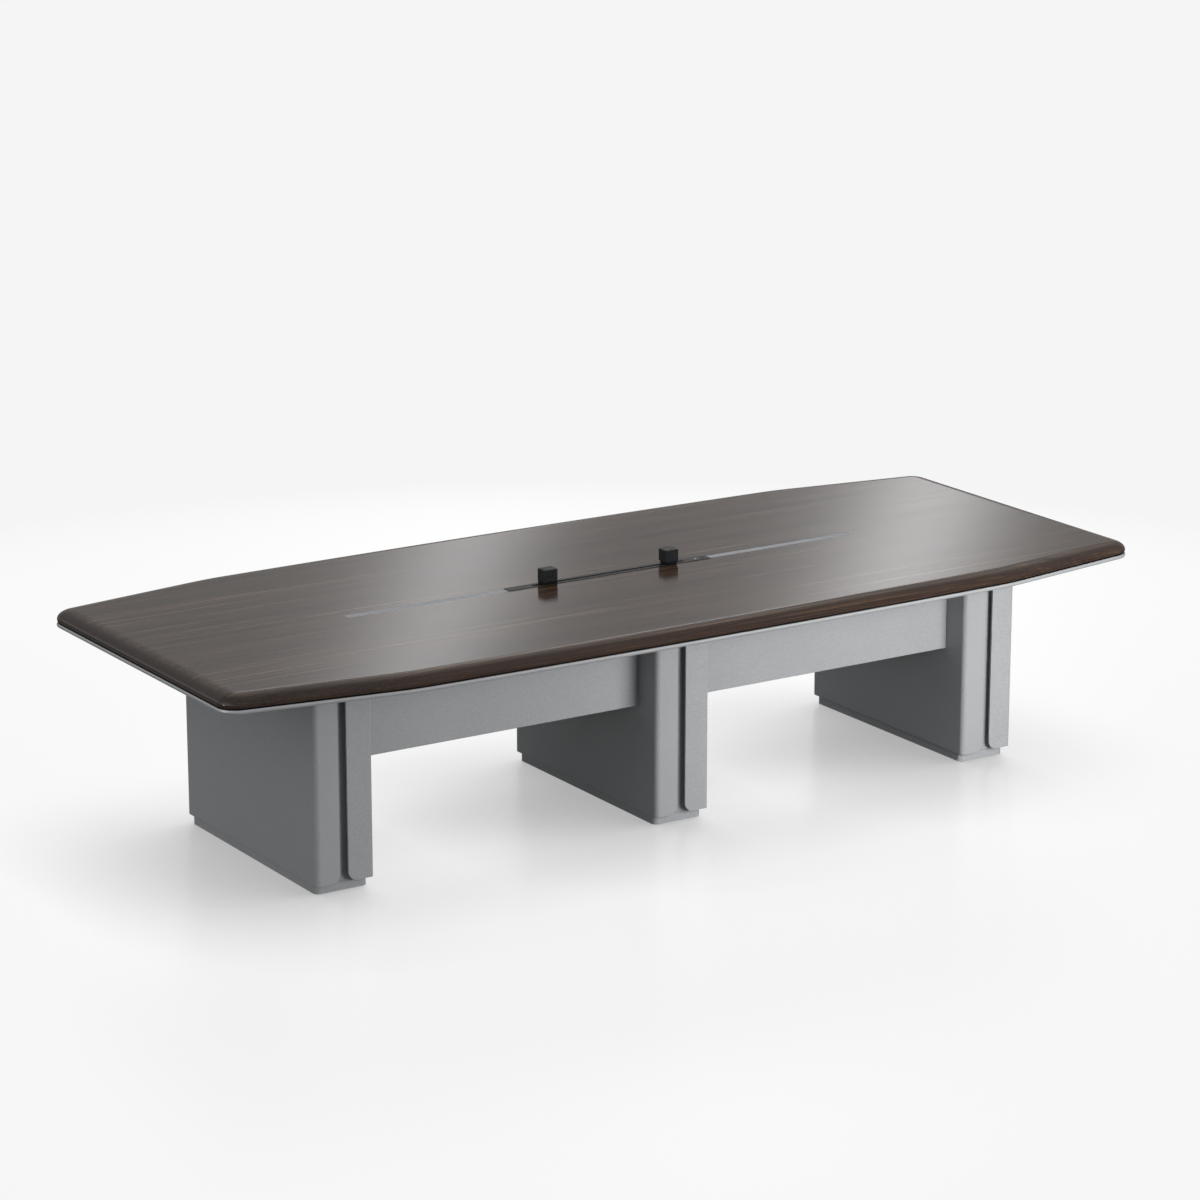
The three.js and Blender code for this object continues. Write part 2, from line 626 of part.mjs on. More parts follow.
// Five-slot socket face: an upright pair above, a slanted pair and an earth slot below.
function socketInsert(socketOnTop) {
  const face = extrudeZ(roundedRect(SOCKET_SIZE, SOCKET_SIZE, SOCKET_RADIUS), -SOCKET_THICK, 0);
  const half = PIN_SPACING / 2;
  const insert = cut(
    face,
    pinSlot(-half, PAIR_RISE, 0),
    pinSlot(half, PAIR_RISE, 0),
    pinSlot(-half, -TRIPLE_DROP, -PIN_SLANT),
    pinSlot(half, -TRIPLE_DROP, PIN_SLANT),
    pinSlot(0, -TRIPLE_DROP - EARTH_DROP, 0),
  );
  if (socketOnTop) {
    return insert.translate(0, 0, CUBE_HIGH - SOCKET_RECESS);
  }
  return insert.rotateX(Math.PI / 2).translate(0, SOCKET_RECESS - CUBE_Y / 2, SOCKET_LEVEL);
}

// The spindle hangs in the cube on its flange and turns its contact arms between the busbars.
function contactSpindle() {
  const low = CUBE_BOTTOM + SEAT_GAP;
  const flangeDiameter = CUBE_Y - 2 * CUBE_WALL - 2 * SEAT_GAP;
  const flange = rod(0, 0, flangeDiameter, low, low + SPINDLE_FLANGE_THICK);
  const armLow = BUSBAR_BOTTOM + (BUSBAR_HEIGHT - CONTACT_HEIGHT) / 2;
  const shaft = rod(0, 0, SPINDLE_DIAMETER, armLow, low + PASS);
  const bar = slab(0, 0, CONTACT_WIDTH, 2 * CONTACT_REACH, armLow, armLow + CONTACT_HEIGHT);
  const sweep = rod(0, 0, 2 * CONTACT_REACH, armLow - PASS, armLow + CONTACT_HEIGHT + PASS);
  return join(flange, shaft, overlap(bar, sweep));
}

function powerAdapter(name, x, baseWidth, socketOnTop) {
  const group = new THREE.Group();
  group.add(piece(`${name}_adapter_base`, sliderBase(baseWidth), cubeBlack));
  group.add(piece(`${name}_adapter_shell`, cubeShell(socketOnTop), cubeBlack));
  group.add(piece(`${name}_adapter_socket`, socketInsert(socketOnTop), socketBlack));
  group.add(piece(`${name}_adapter_spindle`, contactSpindle(), copper));
  group.position.x = x;
  return group;
}

// Pedestals, each about its own upright axis

const WINDOW_TOP = CORE_TOP - WINDOW_DROP;
const FOOT_PLACES = [[-1, -1], [1, -1], [1, 1], [-1, 1]].map(([sideX, sideY]) => {
  return [(sideX * FOOT_SPACING_X) / 2, (sideY * FOOT_SPACING_Y) / 2];
});

function plinth() {
  const shape = roundedRect(PLINTH_WIDTH, CORE_LENGTH, PLINTH_RADIUS);
  shape.holes.push(roundedRect(OUTLET_WIDTH, OUTLET_LENGTH, OUTLET_RADIUS));
  const pockets = FOOT_PLACES.flatMap(([x, y]) => [
    rod(x, y, PAD_DIAMETER + 2 * PAD_CLEARANCE, -PASS, FOOT_RECESS + PAD_THICK + SEAT_GAP),
    rod(x, y, STEM_DIAMETER + 2 * RUN_GAP, 0, PLINTH_HEIGHT + PASS),
  ]);
  return cut(extrudeZ(shape, 0, PLINTH_HEIGHT), ...pockets);
}

// One solid from the middle of the pedestal out through its side, on the side where a bay lies.
function cableWindow(side) {
  const reach = 2 * WRAP_FACE_X;
  return slab((side * reach) / 2, 0, reach, WINDOW_WIDTH, WINDOW_TOP - WINDOW_HEIGHT, WINDOW_TOP);
}

function core(baySides) {
  const shape = roundedRect(CORE_WIDTH, CORE_LENGTH, CORE_RADIUS);
  const inside = CORE_RADIUS / 2;
  shape.holes.push(roundedRect(CORE_WIDTH - 2 * CORE_WALL, CORE_LENGTH - 2 * CORE_WALL, inside));
  return cut(extrudeZ(shape, CORE_BOTTOM, CORE_TOP), ...baySides.map(cableWindow));
}

function headPlate() {
  const width = CORE_WIDTH - 2 * HEAD_MARGIN;
  const shape = roundedRect(width, CORE_LENGTH - 2 * HEAD_MARGIN, HEAD_MARGIN);
  return extrudeZ(shape, CORE_TOP + SEAT_GAP, FRAME_TOP);
}

// A C-shaped wrap seen from above: a web on the +X side of the core and a return at each end.
function wrapPlan(faceY, returnThick, reach, radius) {
  const outerX = WRAP_FACE_X;
  const innerX = outerX - WRAP_THICK;
  const innerY = faceY - returnThick;
  const tipX = outerX - reach;
  const shape = new THREE.Shape();
  shape.absarc(outerX - radius, radius - faceY, radius, -Math.PI / 2, 0);
  shape.absarc(outerX - radius, faceY - radius, radius, 0, Math.PI / 2);
  shape.lineTo(tipX, faceY);
  shape.lineTo(tipX, innerY);
  shape.lineTo(innerX, innerY);
  shape.lineTo(innerX, -innerY);
  shape.lineTo(tipX, -innerY);
  shape.lineTo(tipX, -faceY);
  return shape;
}

// Takes the square lower corner off a wrap, seen from the front. Side is -1 at the tip and +1 at the heel.
function cornerCutter(x, level, radius, side) {
  const centreX = x - side * radius;
  const arc = quarter(centreX, level + radius, radius, 3, side > 0 ? 4 : 2, 2 * ARC_STEPS);
  const outside = [
    new THREE.Vector2(x + side * PASS, level + radius),
    new THREE.Vector2(x + side * PASS, level - PASS),
    new THREE.Vector2(centreX, level - PASS),
  ];
  return extrudeY(new THREE.Shape([...arc, ...outside]), -CORE_LENGTH, CORE_LENGTH);
}

function roundedWrap(hasWindow) {
  const low = PLINTH_HEIGHT + ROUNDED_WRAP_LIFT;
  const plan = wrapPlan(ROUNDED_FACE_Y, WRAP_THICK, ROUNDED_WRAP_REACH, ROUNDED_WRAP_RADIUS);
  const tools = [cornerCutter(WRAP_FACE_X - ROUNDED_WRAP_REACH, low, ROUNDED_TOE_RADIUS, -1)];
  if (hasWindow) {
    tools.push(cableWindow(1));
  }
  return cut(extrudeZ(plan, low, FRAME_TOP), ...tools).rotateZ(Math.PI);
}

function lappedWrap(hasWindow) {
  const low = PLINTH_HEIGHT + LAPPED_WRAP_LIFT;
  const plan = wrapPlan(LAPPED_FACE_Y, LAPPED_RETURN, LAPPED_WRAP_REACH, LAPPED_WRAP_RADIUS);
  const tools = [
    cornerCutter(WRAP_FACE_X - LAPPED_WRAP_REACH, low, LAPPED_TOE_RADIUS, -1),
    cornerCutter(WRAP_FACE_X, low, LAPPED_HEEL_RADIUS, 1),
  ];
  if (hasWindow) {
    tools.push(cableWindow(1));
  }
  return cut(extrudeZ(plan, low, FRAME_TOP), ...tools);
}

function levellingFoot() {
  const pad = PAD_DIAMETER / 2;
  const stem = STEM_DIAMETER / 2;
  const padTop = FOOT_RECESS + PAD_THICK;
  return turned([
    [0, FOOT_RECESS],
    [pad - PAD_CHAMFER, FOOT_RECESS],
    [pad, FOOT_RECESS + PAD_CHAMFER],
    [pad, padTop - PAD_CHAMFER],
    [pad - PAD_CHAMFER, padTop],
    [stem, padTop],
    [stem, padTop + STEM_LENGTH],
    [0, padTop + STEM_LENGTH],
  ]);
}

function pedestal(name, x, baySides) {
  const group = new THREE.Group();
  group.add(piece(`${name}_plinth`, plinth(), pedestalGrey));
  group.add(piece(`${name}_core`, core(baySides), pedestalGrey));
  group.add(piece(`${name}_rounded_wrap`, roundedWrap(baySides.includes(-1)), pedestalGrey));
  group.add(piece(`${name}_lapped_wrap`, lappedWrap(baySides.includes(1)), pedestalGrey));
  group.add(piece(`${name}_head_plate`, headPlate(), bareSteel));
  FOOT_PLACES.forEach(([footX, footY], i) => {
    const foot = piece(`${name}_foot_${i + 1}`, levellingFoot(), padBlack);
    foot.position.set(footX, footY, 0);
    group.add(foot);
  });
  group.position.x = x;
  return group;
}

// Aprons and cable trays, one set to each bay

function apron(side) {
  const face = ROUNDED_FACE_Y - APRON_SETBACK;
  const back = face - APRON_THICK;
  const section = new THREE.Shape();
  section.absarc(back + APRON_ARRIS, APRON_BOTTOM + APRON_ARRIS, APRON_ARRIS, Math.PI, 1.5 * Math.PI);
  section.absarc(face - APRON_ARRIS, APRON_BOTTOM + APRON_ARRIS, APRON_ARRIS, 1.5 * Math.PI, 2 * Math.PI);
  section.lineTo(face, FRAME_TOP);
  section.lineTo(back, FRAME_TOP);
  const half = BAY_LENGTH / 2 - SEAT_GAP;
  const panel = extrudeX(section, -half, half);
  return side > 0 ? panel : panel.rotateZ(Math.PI);
}

function cableTray() {
  const outer = TRAY_WIDTH / 2;
  const inner = outer - TRAY_SHEET;
  const flange = outer + TRAY_FLANGE;
  const under = FRAME_TOP - TRAY_SHEET;
  const floor = FRAME_TOP - TRAY_DEPTH;
  const half = BAY_LENGTH / 2 - TRAY_END_GAP;
  const section = polygon([
    [-flange, FRAME_TOP],
    [-flange, under],
    [-outer, under],
    [-outer, floor],
    [outer, floor],
    [outer, under],
    [flange, under],
    [flange, FRAME_TOP],
    [inner, FRAME_TOP],
    [inner, floor + TRAY_SHEET],
    [-inner, floor + TRAY_SHEET],
    [-inner, FRAME_TOP],
  ]);
  return extrudeX(section, -half, half);
}

function bay(name, x) {
  const group = new THREE.Group();
  group.add(piece(`${name}_front_apron`, apron(-1), pedestalGrey));
  group.add(piece(`${name}_back_apron`, apron(1), pedestalGrey));
  group.add(piece(`${name}_cable_tray`, cableTray(), bareSteel));
  group.position.x = x;
  return group;
}

// The table

const table = new THREE.Group();
table.add(piece('wood_top', woodTop(), darkWood));
table.add(...trimPieces());
table.add(piece('sub_top', subTop(), boardBlack));
table.add(piece('left_inlay_strip', inlayStrip(-1), satinSilver));
table.add(piece('right_inlay_strip', inlayStrip(1), satinSilver));
table.add(powerTrack());
table.add(powerAdapter('left', -ADAPTER_X, CUBE_X - 2 * BASE_INSET, false));
table.add(powerAdapter('right', ADAPTER_X, NECK_WIDTH, true));
table.add(pedestal('left_pedestal', -PEDESTAL_PITCH, [1]));
table.add(pedestal('middle_pedestal', 0, [-1, 1]));
table.add(pedestal('right_pedestal', PEDESTAL_PITCH, [-1]));
table.add(bay('left_bay', -PEDESTAL_PITCH / 2));
table.add(bay('right_bay', PEDESTAL_PITCH / 2));

export default table;
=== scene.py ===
"""Dressed model of a boat-shaped conference table on three slab pedestals.

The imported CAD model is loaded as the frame. The top and its edge trim are built again with fine, smooth
curves, the boards and fittings get softened edges, and every surface gets a finish of its own.
"""
import json
import logging
import math
from dataclasses import dataclass
from enum import Enum

import bmesh
import bpy
from mathutils import Matrix, Vector


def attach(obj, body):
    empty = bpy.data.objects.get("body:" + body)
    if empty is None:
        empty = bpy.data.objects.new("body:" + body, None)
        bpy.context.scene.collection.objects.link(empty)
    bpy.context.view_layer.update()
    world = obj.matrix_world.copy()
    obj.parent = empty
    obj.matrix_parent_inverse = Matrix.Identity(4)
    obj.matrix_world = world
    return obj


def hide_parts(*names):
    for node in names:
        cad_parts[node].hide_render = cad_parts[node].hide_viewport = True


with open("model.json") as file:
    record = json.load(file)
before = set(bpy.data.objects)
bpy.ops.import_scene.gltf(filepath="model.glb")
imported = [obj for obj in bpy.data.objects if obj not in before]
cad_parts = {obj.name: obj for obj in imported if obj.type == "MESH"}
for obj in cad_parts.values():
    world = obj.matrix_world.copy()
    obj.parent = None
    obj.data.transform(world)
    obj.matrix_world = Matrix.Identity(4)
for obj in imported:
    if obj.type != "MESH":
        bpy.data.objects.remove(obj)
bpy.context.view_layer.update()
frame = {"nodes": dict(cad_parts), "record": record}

LOG = logging.getLogger("conference_table")

Colour = tuple[float, float, float]
Point = tuple[float, float, float]
Span = tuple[float, float]
Tree = bpy.types.NodeTree
Socket = bpy.types.NodeSocket
Feed = float | Colour | Socket

MM = 0.001
# Half the width over which a painted edge fades, in metres
PAINT_BLUR = 0.0002
# Points of a mesh that lie closer than this are one point, in metres
WELD = 1e-6
# Faces that meet at less than the first angle are joined, edges sharper than the second are rounded
FLAT_ANGLE, SHARP_ANGLE = math.radians(0.6), math.radians(40.0)
# Places of the colour sockets among the sockets of a mix node
MIX_FACTOR, MIX_FIRST, MIX_SECOND, MIX_RESULT = 0, 6, 7, 2


class Grain(Enum):
    """Which way the fine lines of a finish run."""

    ALONG_X = (1.0, 0.0, 0.0)
    ALONG_Y = (0.0, 1.0, 0.0)


class Side(Enum):
    """The two halves of the table, as its pieces name them."""

    LEFT = "left"
    RIGHT = "right"


class Post(Enum):
    """The three pedestals, as their pieces name them."""

    LEFT = "left"
    MIDDLE = "middle"
    RIGHT = "right"


# Shader node helpers


def link(tree: Tree, source: Socket, target: Socket) -> None:
    """Joins an output to an input."""
    tree.links.new(source, target)


def feed(tree: Tree, value: Feed, target: Socket) -> None:
    """Sets an input to a value, or joins it to an output.

    Args:
        tree: The tree that holds the input.
        value: A number, a colour or an output socket.
        target: The input.
    """
    if isinstance(value, Socket):
        link(tree, value, target)
    elif isinstance(value, tuple):
        target.default_value = (*value, 1.0)
    else:
        target.default_value = value


def math_node(tree: Tree, operation: str, *values: float | Socket) -> Socket:
    """Adds a math node.

    Args:
        tree: The tree that gets the node.
        operation: Blender's name of the operation.
        values: A number or an output socket for each input.

    Returns:
        The node's output.
    """
    node = tree.nodes.new("ShaderNodeMath")
    node.operation = operation
    for target, value in zip(node.inputs, values):
        feed(tree, value, target)
    return node.outputs[0]


def vector_node(tree: Tree, operation: str, *vectors: Socket) -> bpy.types.Node:
    """Adds a vector math node.

    Args:
        tree: The tree that gets the node.
        operation: Blender's name of the operation.
        vectors: An output socket for each vector input that is joined.

    Returns:
        The node.
    """
    node = tree.nodes.new("ShaderNodeVectorMath")
    node.operation = operation
    for target, vector in zip(node.inputs, vectors):
        link(tree, vector, target)
    return node


def mix_colour(tree: Tree, factor: float | Socket, first: Feed, second: Feed) -> Socket:
    """Adds a colour mix.

    Args:
        tree: The tree that gets the node.
        factor: Share of the second colour, a number or an output socket.
        first: A colour or an output socket.
        second: A colour or an output socket.

    Returns:
        The mixed colour.
    """
    node = tree.nodes.new("ShaderNodeMix")
    node.data_type = "RGBA"
    for place, value in ((MIX_FACTOR, factor), (MIX_FIRST, first), (MIX_SECOND, second)):
        feed(tree, value, node.inputs[place])
    return node.outputs[MIX_RESULT]


def band(tree: Tree, value: Socket, low: float, high: float) -> Socket:
    """Spreads a value between two levels smoothly over 0 to 1.

    Args:
        tree: The tree that gets the node.
        value: The value to spread.
        low: The level that gives 0.
        high: The level that gives 1.

    Returns:
        The spread value.
    """
    node = tree.nodes.new("ShaderNodeMapRange")
    node.interpolation_type = "SMOOTHSTEP"
    link(tree, value, node.inputs["Value"])
    node.inputs["From Min"].default_value = low
    node.inputs["From Max"].default_value = high
    return node.outputs["Result"]


class EffectGroups:
    """Shader groups that several finishes share, each built once."""

    def __init__(self) -> None:
        """Builds the groups."""
        self.streaks = self._streaks()
        self.speckle = self._speckle()
        self.smudge = self._smudge()

    @staticmethod
    def _start(
        name: str, inputs: dict[str, float | None], outputs: list[str]
    ) -> tuple[Tree, bpy.types.Node, bpy.types.Node]:
        """Makes an empty group.

        Args:
            name: The group's name.
            inputs: Starting value of each value input, None for a vector input.
            outputs: Names of the value outputs.

        Returns:
            The group's tree, its input node and its output node.
        """
        tree = bpy.data.node_groups.new(name, "ShaderNodeTree")
        for label, value in inputs.items():
            kind = "NodeSocketVector" if value is None else "NodeSocketFloat"
            socket = tree.interface.new_socket(name=label, in_out="INPUT", socket_type=kind)
            if value is not None:
                socket.default_value = value
        for label in outputs:
            tree.interface.new_socket(name=label, in_out="OUTPUT", socket_type="NodeSocketFloat")
        return tree, tree.nodes.new("NodeGroupInput"), tree.nodes.new("NodeGroupOutput")

    @staticmethod
    def _noise(
        tree: Tree,
        vector: Socket,
        scale: float | Socket,
        detail: float,
        roughness: float,
        distortion: float | Socket = 0.0,
    ) -> Socket:
        """Adds a noise texture.

        Args:
            tree: The tree that gets the node.
            vector: Socket with the place.
            scale: Fineness of the pattern, a number or an output socket.
            detail: Octaves of detail.
            roughness: Strength of the finer octaves.
            distortion: How far the pattern is pushed about, a number or an output socket.

        Returns:
            The noise value.
        """
        node = tree.nodes.new("ShaderNodeTexNoise")
        link(tree, vector, node.inputs["Vector"])
        values = {"Scale": scale, "Detail": detail, "Roughness": roughness, "Distortion": distortion}
        for label, value in values.items():
            feed(tree, value, node.inputs[label])
        return node.outputs[0]

    def _streaks(self) -> Tree:
        """Long fibres or brush lines: noise drawn out along one axis.

        Returns:
            The group's tree.
        """
        inputs = {"Place": None, "Along": None, "Length": 1.0, "Fineness": 100.0, "Bend": 0.0}
        tree, entry, result = self._start("drawn_out_streaks", inputs, ["Mask"])
        across = vector_node(tree, "SCALE", entry.outputs["Place"])
        link(tree, entry.outputs["Fineness"], across.inputs["Scale"])
        drawn = vector_node(tree, "PROJECT", across.outputs[0], entry.outputs["Along"])
        shrink = vector_node(tree, "SCALE", drawn.outputs[0])
        ratio = math_node(tree, "DIVIDE", entry.outputs["Length"], entry.outputs["Fineness"])
        link(tree, math_node(tree, "SUBTRACT", ratio, 1.0), shrink.inputs["Scale"])
        total = vector_node(tree, "ADD", across.outputs[0], shrink.outputs[0])
        bend = entry.outputs["Bend"]
        lines = self._noise(tree, total.outputs[0], 1.0, detail=5.0, roughness=0.6, distortion=bend)
        link(tree, lines, result.inputs["Mask"])
        return tree

    def _speckle(self) -> Tree:
        """Fine grains of a sprayed coat or moulded texture.

        Returns:
            The group's tree.
        """
        inputs = {"Place": None, "Fineness": 900.0}
        tree, entry, result = self._start("fine_speckle", inputs, ["Mask", "Height"])
        place, fineness = entry.outputs["Place"], entry.outputs["Fineness"]
        grains = self._noise(tree, place, fineness, detail=2.0, roughness=0.6)
        cells = tree.nodes.new("ShaderNodeTexVoronoi")
        link(tree, place, cells.inputs["Vector"])
        link(tree, fineness, cells.inputs["Scale"])
        link(tree, band(tree, grains, low=0.3, high=0.7), result.inputs["Mask"])
        link(tree, math_node(tree, "ADD", grains, cells.outputs["Distance"]), result.inputs["Height"])
        return tree

    def _smudge(self) -> Tree:
        """Broad uneven patches from handling and settled dust.

        Returns:
            The group's tree.
        """
        inputs = {"Place": None, "Fineness": 6.0}
        tree, entry, result = self._start("handling_smudge", inputs, ["Mask"])
        place, fineness = entry.outputs["Place"], entry.outputs["Fineness"]
        patches = self._noise(tree, place, fineness, detail=4.0, roughness=0.55, distortion=0.6)
        link(tree, band(tree, patches, low=0.35, high=0.7), result.inputs["Mask"])
        return tree


@dataclass(frozen=True)
class Streak:
    """Drawn-out streaks: their pattern, the noise levels between which they fade in, and their share."""

    length: float
    fineness: float
    limits: Span
    bend: float = 0.0
    share: float = 1.0


class Shading:
    """One material under construction, with its shader and the place on the object."""

    def __init__(self, name: str, groups: EffectGroups) -> None:
        """Starts a material.

        Args:
            name: The material's name.
            groups: The shared effects.
        """
        self.groups = groups
        self.material = bpy.data.materials.new(name)
        self.material.use_nodes = True
        self.tree = self.material.node_tree
        self.shader = self.tree.nodes["Principled BSDF"]
        place = self.tree.nodes.new("ShaderNodeTexCoord")
        self.place = place.outputs["Object"]

    def effect(self, group: Tree, output: str, **values: float | Point) -> Socket:
        """Places a shared effect.

        Args:
            group: The effect's tree.
            output: Name of the output wanted.
            values: Values of the effect's inputs.

        Returns:
            The output's socket.
        """
        node = self.tree.nodes.new("ShaderNodeGroup")
        node.node_tree = group
        link(self.tree, self.place, node.inputs["Place"])
        for label, value in values.items():
            node.inputs[label].default_value = value
        return node.outputs[output]

    def streaks(self, streak: Streak, grain: Grain) -> Socket:
        """Places the noise of a layer of streaks.

        Args:
            streak: The layer.
            grain: Which way it runs.

        Returns:
            The noise value.
        """
        values = {"Length": streak.length, "Fineness": streak.fineness, "Bend": streak.bend}
        return self.effect(self.groups.streaks, "Mask", Along=grain.value, **values)

    def tint(self, mask: Socket, share: float, first: Feed, second: Feed) -> Socket:
        """Mixes a share of one colour into another one where a mask shows it.

        Args:
            mask: The mask, 0 to 1.
            share: Share of the second colour where the mask is 1.
            first: A colour or an output socket.
            second: A colour or an output socket.

        Returns:
            The mixed colour.
        """
        return mix_colour(self.tree, math_node(self.tree, "MULTIPLY", mask, share), first, second)

    def layer(self, noise: Socket, streak: Streak, first: Feed, second: Feed) -> Socket:
        """Draws streaks of one colour over another one.

        Args:
            noise: The noise of the streaks.
            streak: The layer.
            first: The colour between the streaks, or an output socket.
            second: The streaks' colour.

        Returns:
            The streaked colour.
        """
        return self.tint(band(self.tree, noise, *streak.limits), streak.share, first, second)

    def level(self, low: float, high: float) -> Socket:
        """A mask that follows the height above the floor.

        Args:
            low: The height in metres where the mask is 0.
            high: The height where it is 1.

        Returns:
            The mask.
        """
        parts = self.tree.nodes.new("ShaderNodeSeparateXYZ")
        link(self.tree, self.place, parts.inputs[0])
        return band(self.tree, parts.outputs["Z"], low, high)

    def bump(self, height: Socket, strength: float, distance: float) -> None:
        """Lays a relief over the surface.

        Args:
            height: The relief's height.
            strength: How much of it shows.
            distance: Its depth in metres.
        """
        node = self.tree.nodes.new("ShaderNodeBump")
        node.inputs["Strength"].default_value = strength
        node.inputs["Distance"].default_value = distance
        link(self.tree, height, node.inputs["Height"])
        link(self.tree, node.outputs["Normal"], self.shader.inputs["Normal"])

    def vary(self, socket: str, mask: Socket, low: float, high: float) -> None:
        """Lets a shader value follow a mask.

        Args:
            socket: Name of the shader's input.
            mask: The mask, 0 to 1.
            low: The value where the mask is 0.
            high: The value where the mask is 1.
        """
        node = self.tree.nodes.new("ShaderNodeMapRange")
        node.inputs["To Min"].default_value = low
        node.inputs["To Max"].default_value = high
        link(self.tree, mask, node.inputs["Value"])
        link(self.tree, node.outputs["Result"], self.shader.inputs[socket])


# Finishes. Heights and depths are in metres, gloss is the lowest and the highest roughness.


@dataclass(frozen=True, kw_only=True)
class Finish:
    """What every finish has: a name, a slot, a spread of roughness and a relief."""

    name: str
    slot: str
    gloss: Span
    relief: float
    relief_depth: float

    def material(self, groups: EffectGroups) -> bpy.types.Material:
        """Builds the material.

        Args:
            groups: The shared effects.

        Returns:
            The material.
        """
        work = Shading(self.name, groups)
        colour, wear, height = self.surface(work)
        link(work.tree, colour, work.shader.inputs["Base Color"])
        work.vary("Roughness", wear, *self.gloss)
        work.bump(height, self.relief, self.relief_depth)
        return work.material

    def surface(self, work: Shading) -> tuple[Socket, Socket, Socket]:
        """Makes what sets the finish apart.

        Args:
            work: The material under construction.

        Returns:
            The colour, the mask that the roughness follows, and the relief's height.
        """
        raise NotImplementedError


@dataclass(frozen=True, kw_only=True)
class Veneer(Finish):
    """Dark open-grain veneer under satin lacquer, with painted shade that darkens the rounded edge."""

    deep: Colour
    middle: Colour
    pale: Colour
    pore: Colour
    # Painted shade: the dark colour, its share, and the heights over which it darkens the rounded edge and
    # mutes its grain
    edge_shade: Colour
    edge_shade_share: float
    edge_shade_level: Span
    figure: Streak = Streak(length=0.5, fineness=30.0, limits=(0.36, 0.64), bend=0.3)
    sweep: Streak = Streak(length=0.8, fineness=85.0, limits=(0.52, 0.74), bend=0.25, share=0.60)
    fibre: Streak = Streak(length=4.0, fineness=330.0, limits=(0.40, 0.75), bend=0.1, share=0.35)
    pores: Streak = Streak(length=16.0, fineness=700.0, limits=(0.56, 0.68))
    grain: Grain = Grain.ALONG_X
    relief: float = 0.05
    relief_depth: float = 0.00012

    def surface(self, work: Shading) -> tuple[Socket, Socket, Socket]:
        """Lays figure, pale sweeps, fibres and pores over each other.

        Args:
            work: The material under construction.

        Returns:
            The colour, the mask that the roughness follows, and the relief's height.
        """
        layers = (self.figure, self.sweep, self.fibre, self.pores)
        figure, sweep, fibre, pores = [work.streaks(layer, self.grain) for layer in layers]
        colour = work.layer(figure, self.figure, self.deep, self.middle)
        colour = work.layer(sweep, self.sweep, colour, self.pale)
        colour = work.layer(fibre, self.fibre, colour, self.pale)
        colour = work.layer(pores, self.pores, colour, self.pore)
        # Painted shade: darkens the rounded edge and the side below the top face
        colour = work.tint(work.level(*self.edge_shade_level), self.edge_shade_share, colour, self.edge_shade)
        return colour, figure, math_node(work.tree, "ADD", fibre, pores)


@dataclass(frozen=True, kw_only=True)
class BrushedMetal(Finish):
    """Metal with fine lines from brushing or drawing, painted black above a height where one is given, as
    painted shadow in a groove.
    """

    colour: Colour
    shade: Colour
    metallic: float = 1.0
    grain: Grain = Grain.ALONG_X
    lines: Streak = Streak(length=9.0, fineness=1400.0, limits=(0.3, 0.7))
    smudge_fineness: float = 14.0
    smudge_share: float = 0.25
    # Painted shadow: the colour painted above the given height
    dark: Colour = (0.008, 0.008, 0.008)
    painted_shadow_from: float | None = None
    relief: float = 0.10
    relief_depth: float = 0.00006

    def surface(self, work: Shading) -> tuple[Socket, Socket, Socket]:
        """Brushes the metal and smudges it.

        Args:
            work: The material under construction.

        Returns:
            The colour, the mask that the roughness follows, and the relief's height.
        """
        lines = work.streaks(self.lines, self.grain)
        smudge = work.effect(work.groups.smudge, "Mask", Fineness=self.smudge_fineness)
        colour = work.layer(lines, self.lines, self.shade, self.colour)
        colour = work.tint(smudge, self.smudge_share, colour, self.shade)
        # Painted shadow: black above the height stands in for the shade in the groove over the bead
        if self.painted_shadow_from is not None:
            painted_groove_shadow = work.level(self.painted_shadow_from - PAINT_BLUR, self.painted_shadow_from + PAINT_BLUR)
            colour = mix_colour(work.tree, painted_groove_shadow, colour, self.dark)
        work.shader.inputs["Metallic"].default_value = self.metallic
        return colour, lines, lines


@dataclass(frozen=True, kw_only=True)
class SprayedCoat(Finish):
    """Fine-grained lacquer sprayed over board."""

    colour: Colour
    fleck: Colour
    fineness: float = 330.0
    fleck_share: float = 0.6
    orange_peel: float = 0.6
    dust_fineness: float = 5.0
    dust_share: float = 0.10
    relief: float = 0.22
    relief_depth: float = 0.00022

    def surface(self, work: Shading) -> tuple[Socket, Socket, Socket]:
        """Flecks the coat and lays a little dust on it.

        Args:
            work: The material under construction.

        Returns:
            The colour, the mask that the roughness follows, and the relief's height.
        """
        grains = work.effect(work.groups.speckle, "Mask", Fineness=self.fineness)
        height = work.effect(work.groups.speckle, "Height", Fineness=self.fineness * self.orange_peel)
        dust = work.effect(work.groups.smudge, "Mask", Fineness=self.dust_fineness)
        colour = work.tint(grains, self.fleck_share, self.colour, self.fleck)
        return work.tint(dust, self.dust_share, colour, self.fleck), dust, height


@dataclass(frozen=True, kw_only=True)
class MouldedPlastic(Finish):
    """Plastic with a fine moulded texture, nearly black below a height where one is given."""

    colour: Colour
    worn: Colour
    fineness: float = 1900.0
    wear_fineness: float = 40.0
    wear_share: float = 0.5
    sheen: float = 0.5
    dark: Colour = (0.003, 0.003, 0.003)
    dark_below: float | None = None
    relief: float = 0.12
    relief_depth: float = 0.00008

    def surface(self, work: Shading) -> tuple[Socket, Socket, Socket]:
        """Rubs the plastic unevenly.

        Args:
            work: The material under construction.

        Returns:
            The colour, the mask that the roughness follows, and the relief's height.
        """
        texture = work.effect(work.groups.speckle, "Height", Fineness=self.fineness)
        wear = work.effect(work.groups.smudge, "Mask", Fineness=self.wear_fineness)
        colour = work.tint(wear, self.wear_share, self.colour, self.worn)
        if self.dark_below is not None:
            under = work.level(self.dark_below + PAINT_BLUR, self.dark_below - PAINT_BLUR)
            colour = mix_colour(work.tree, under, colour, self.dark)
        work.shader.inputs["Specular IOR Level"].default_value = self.sheen
        return colour, wear, texture


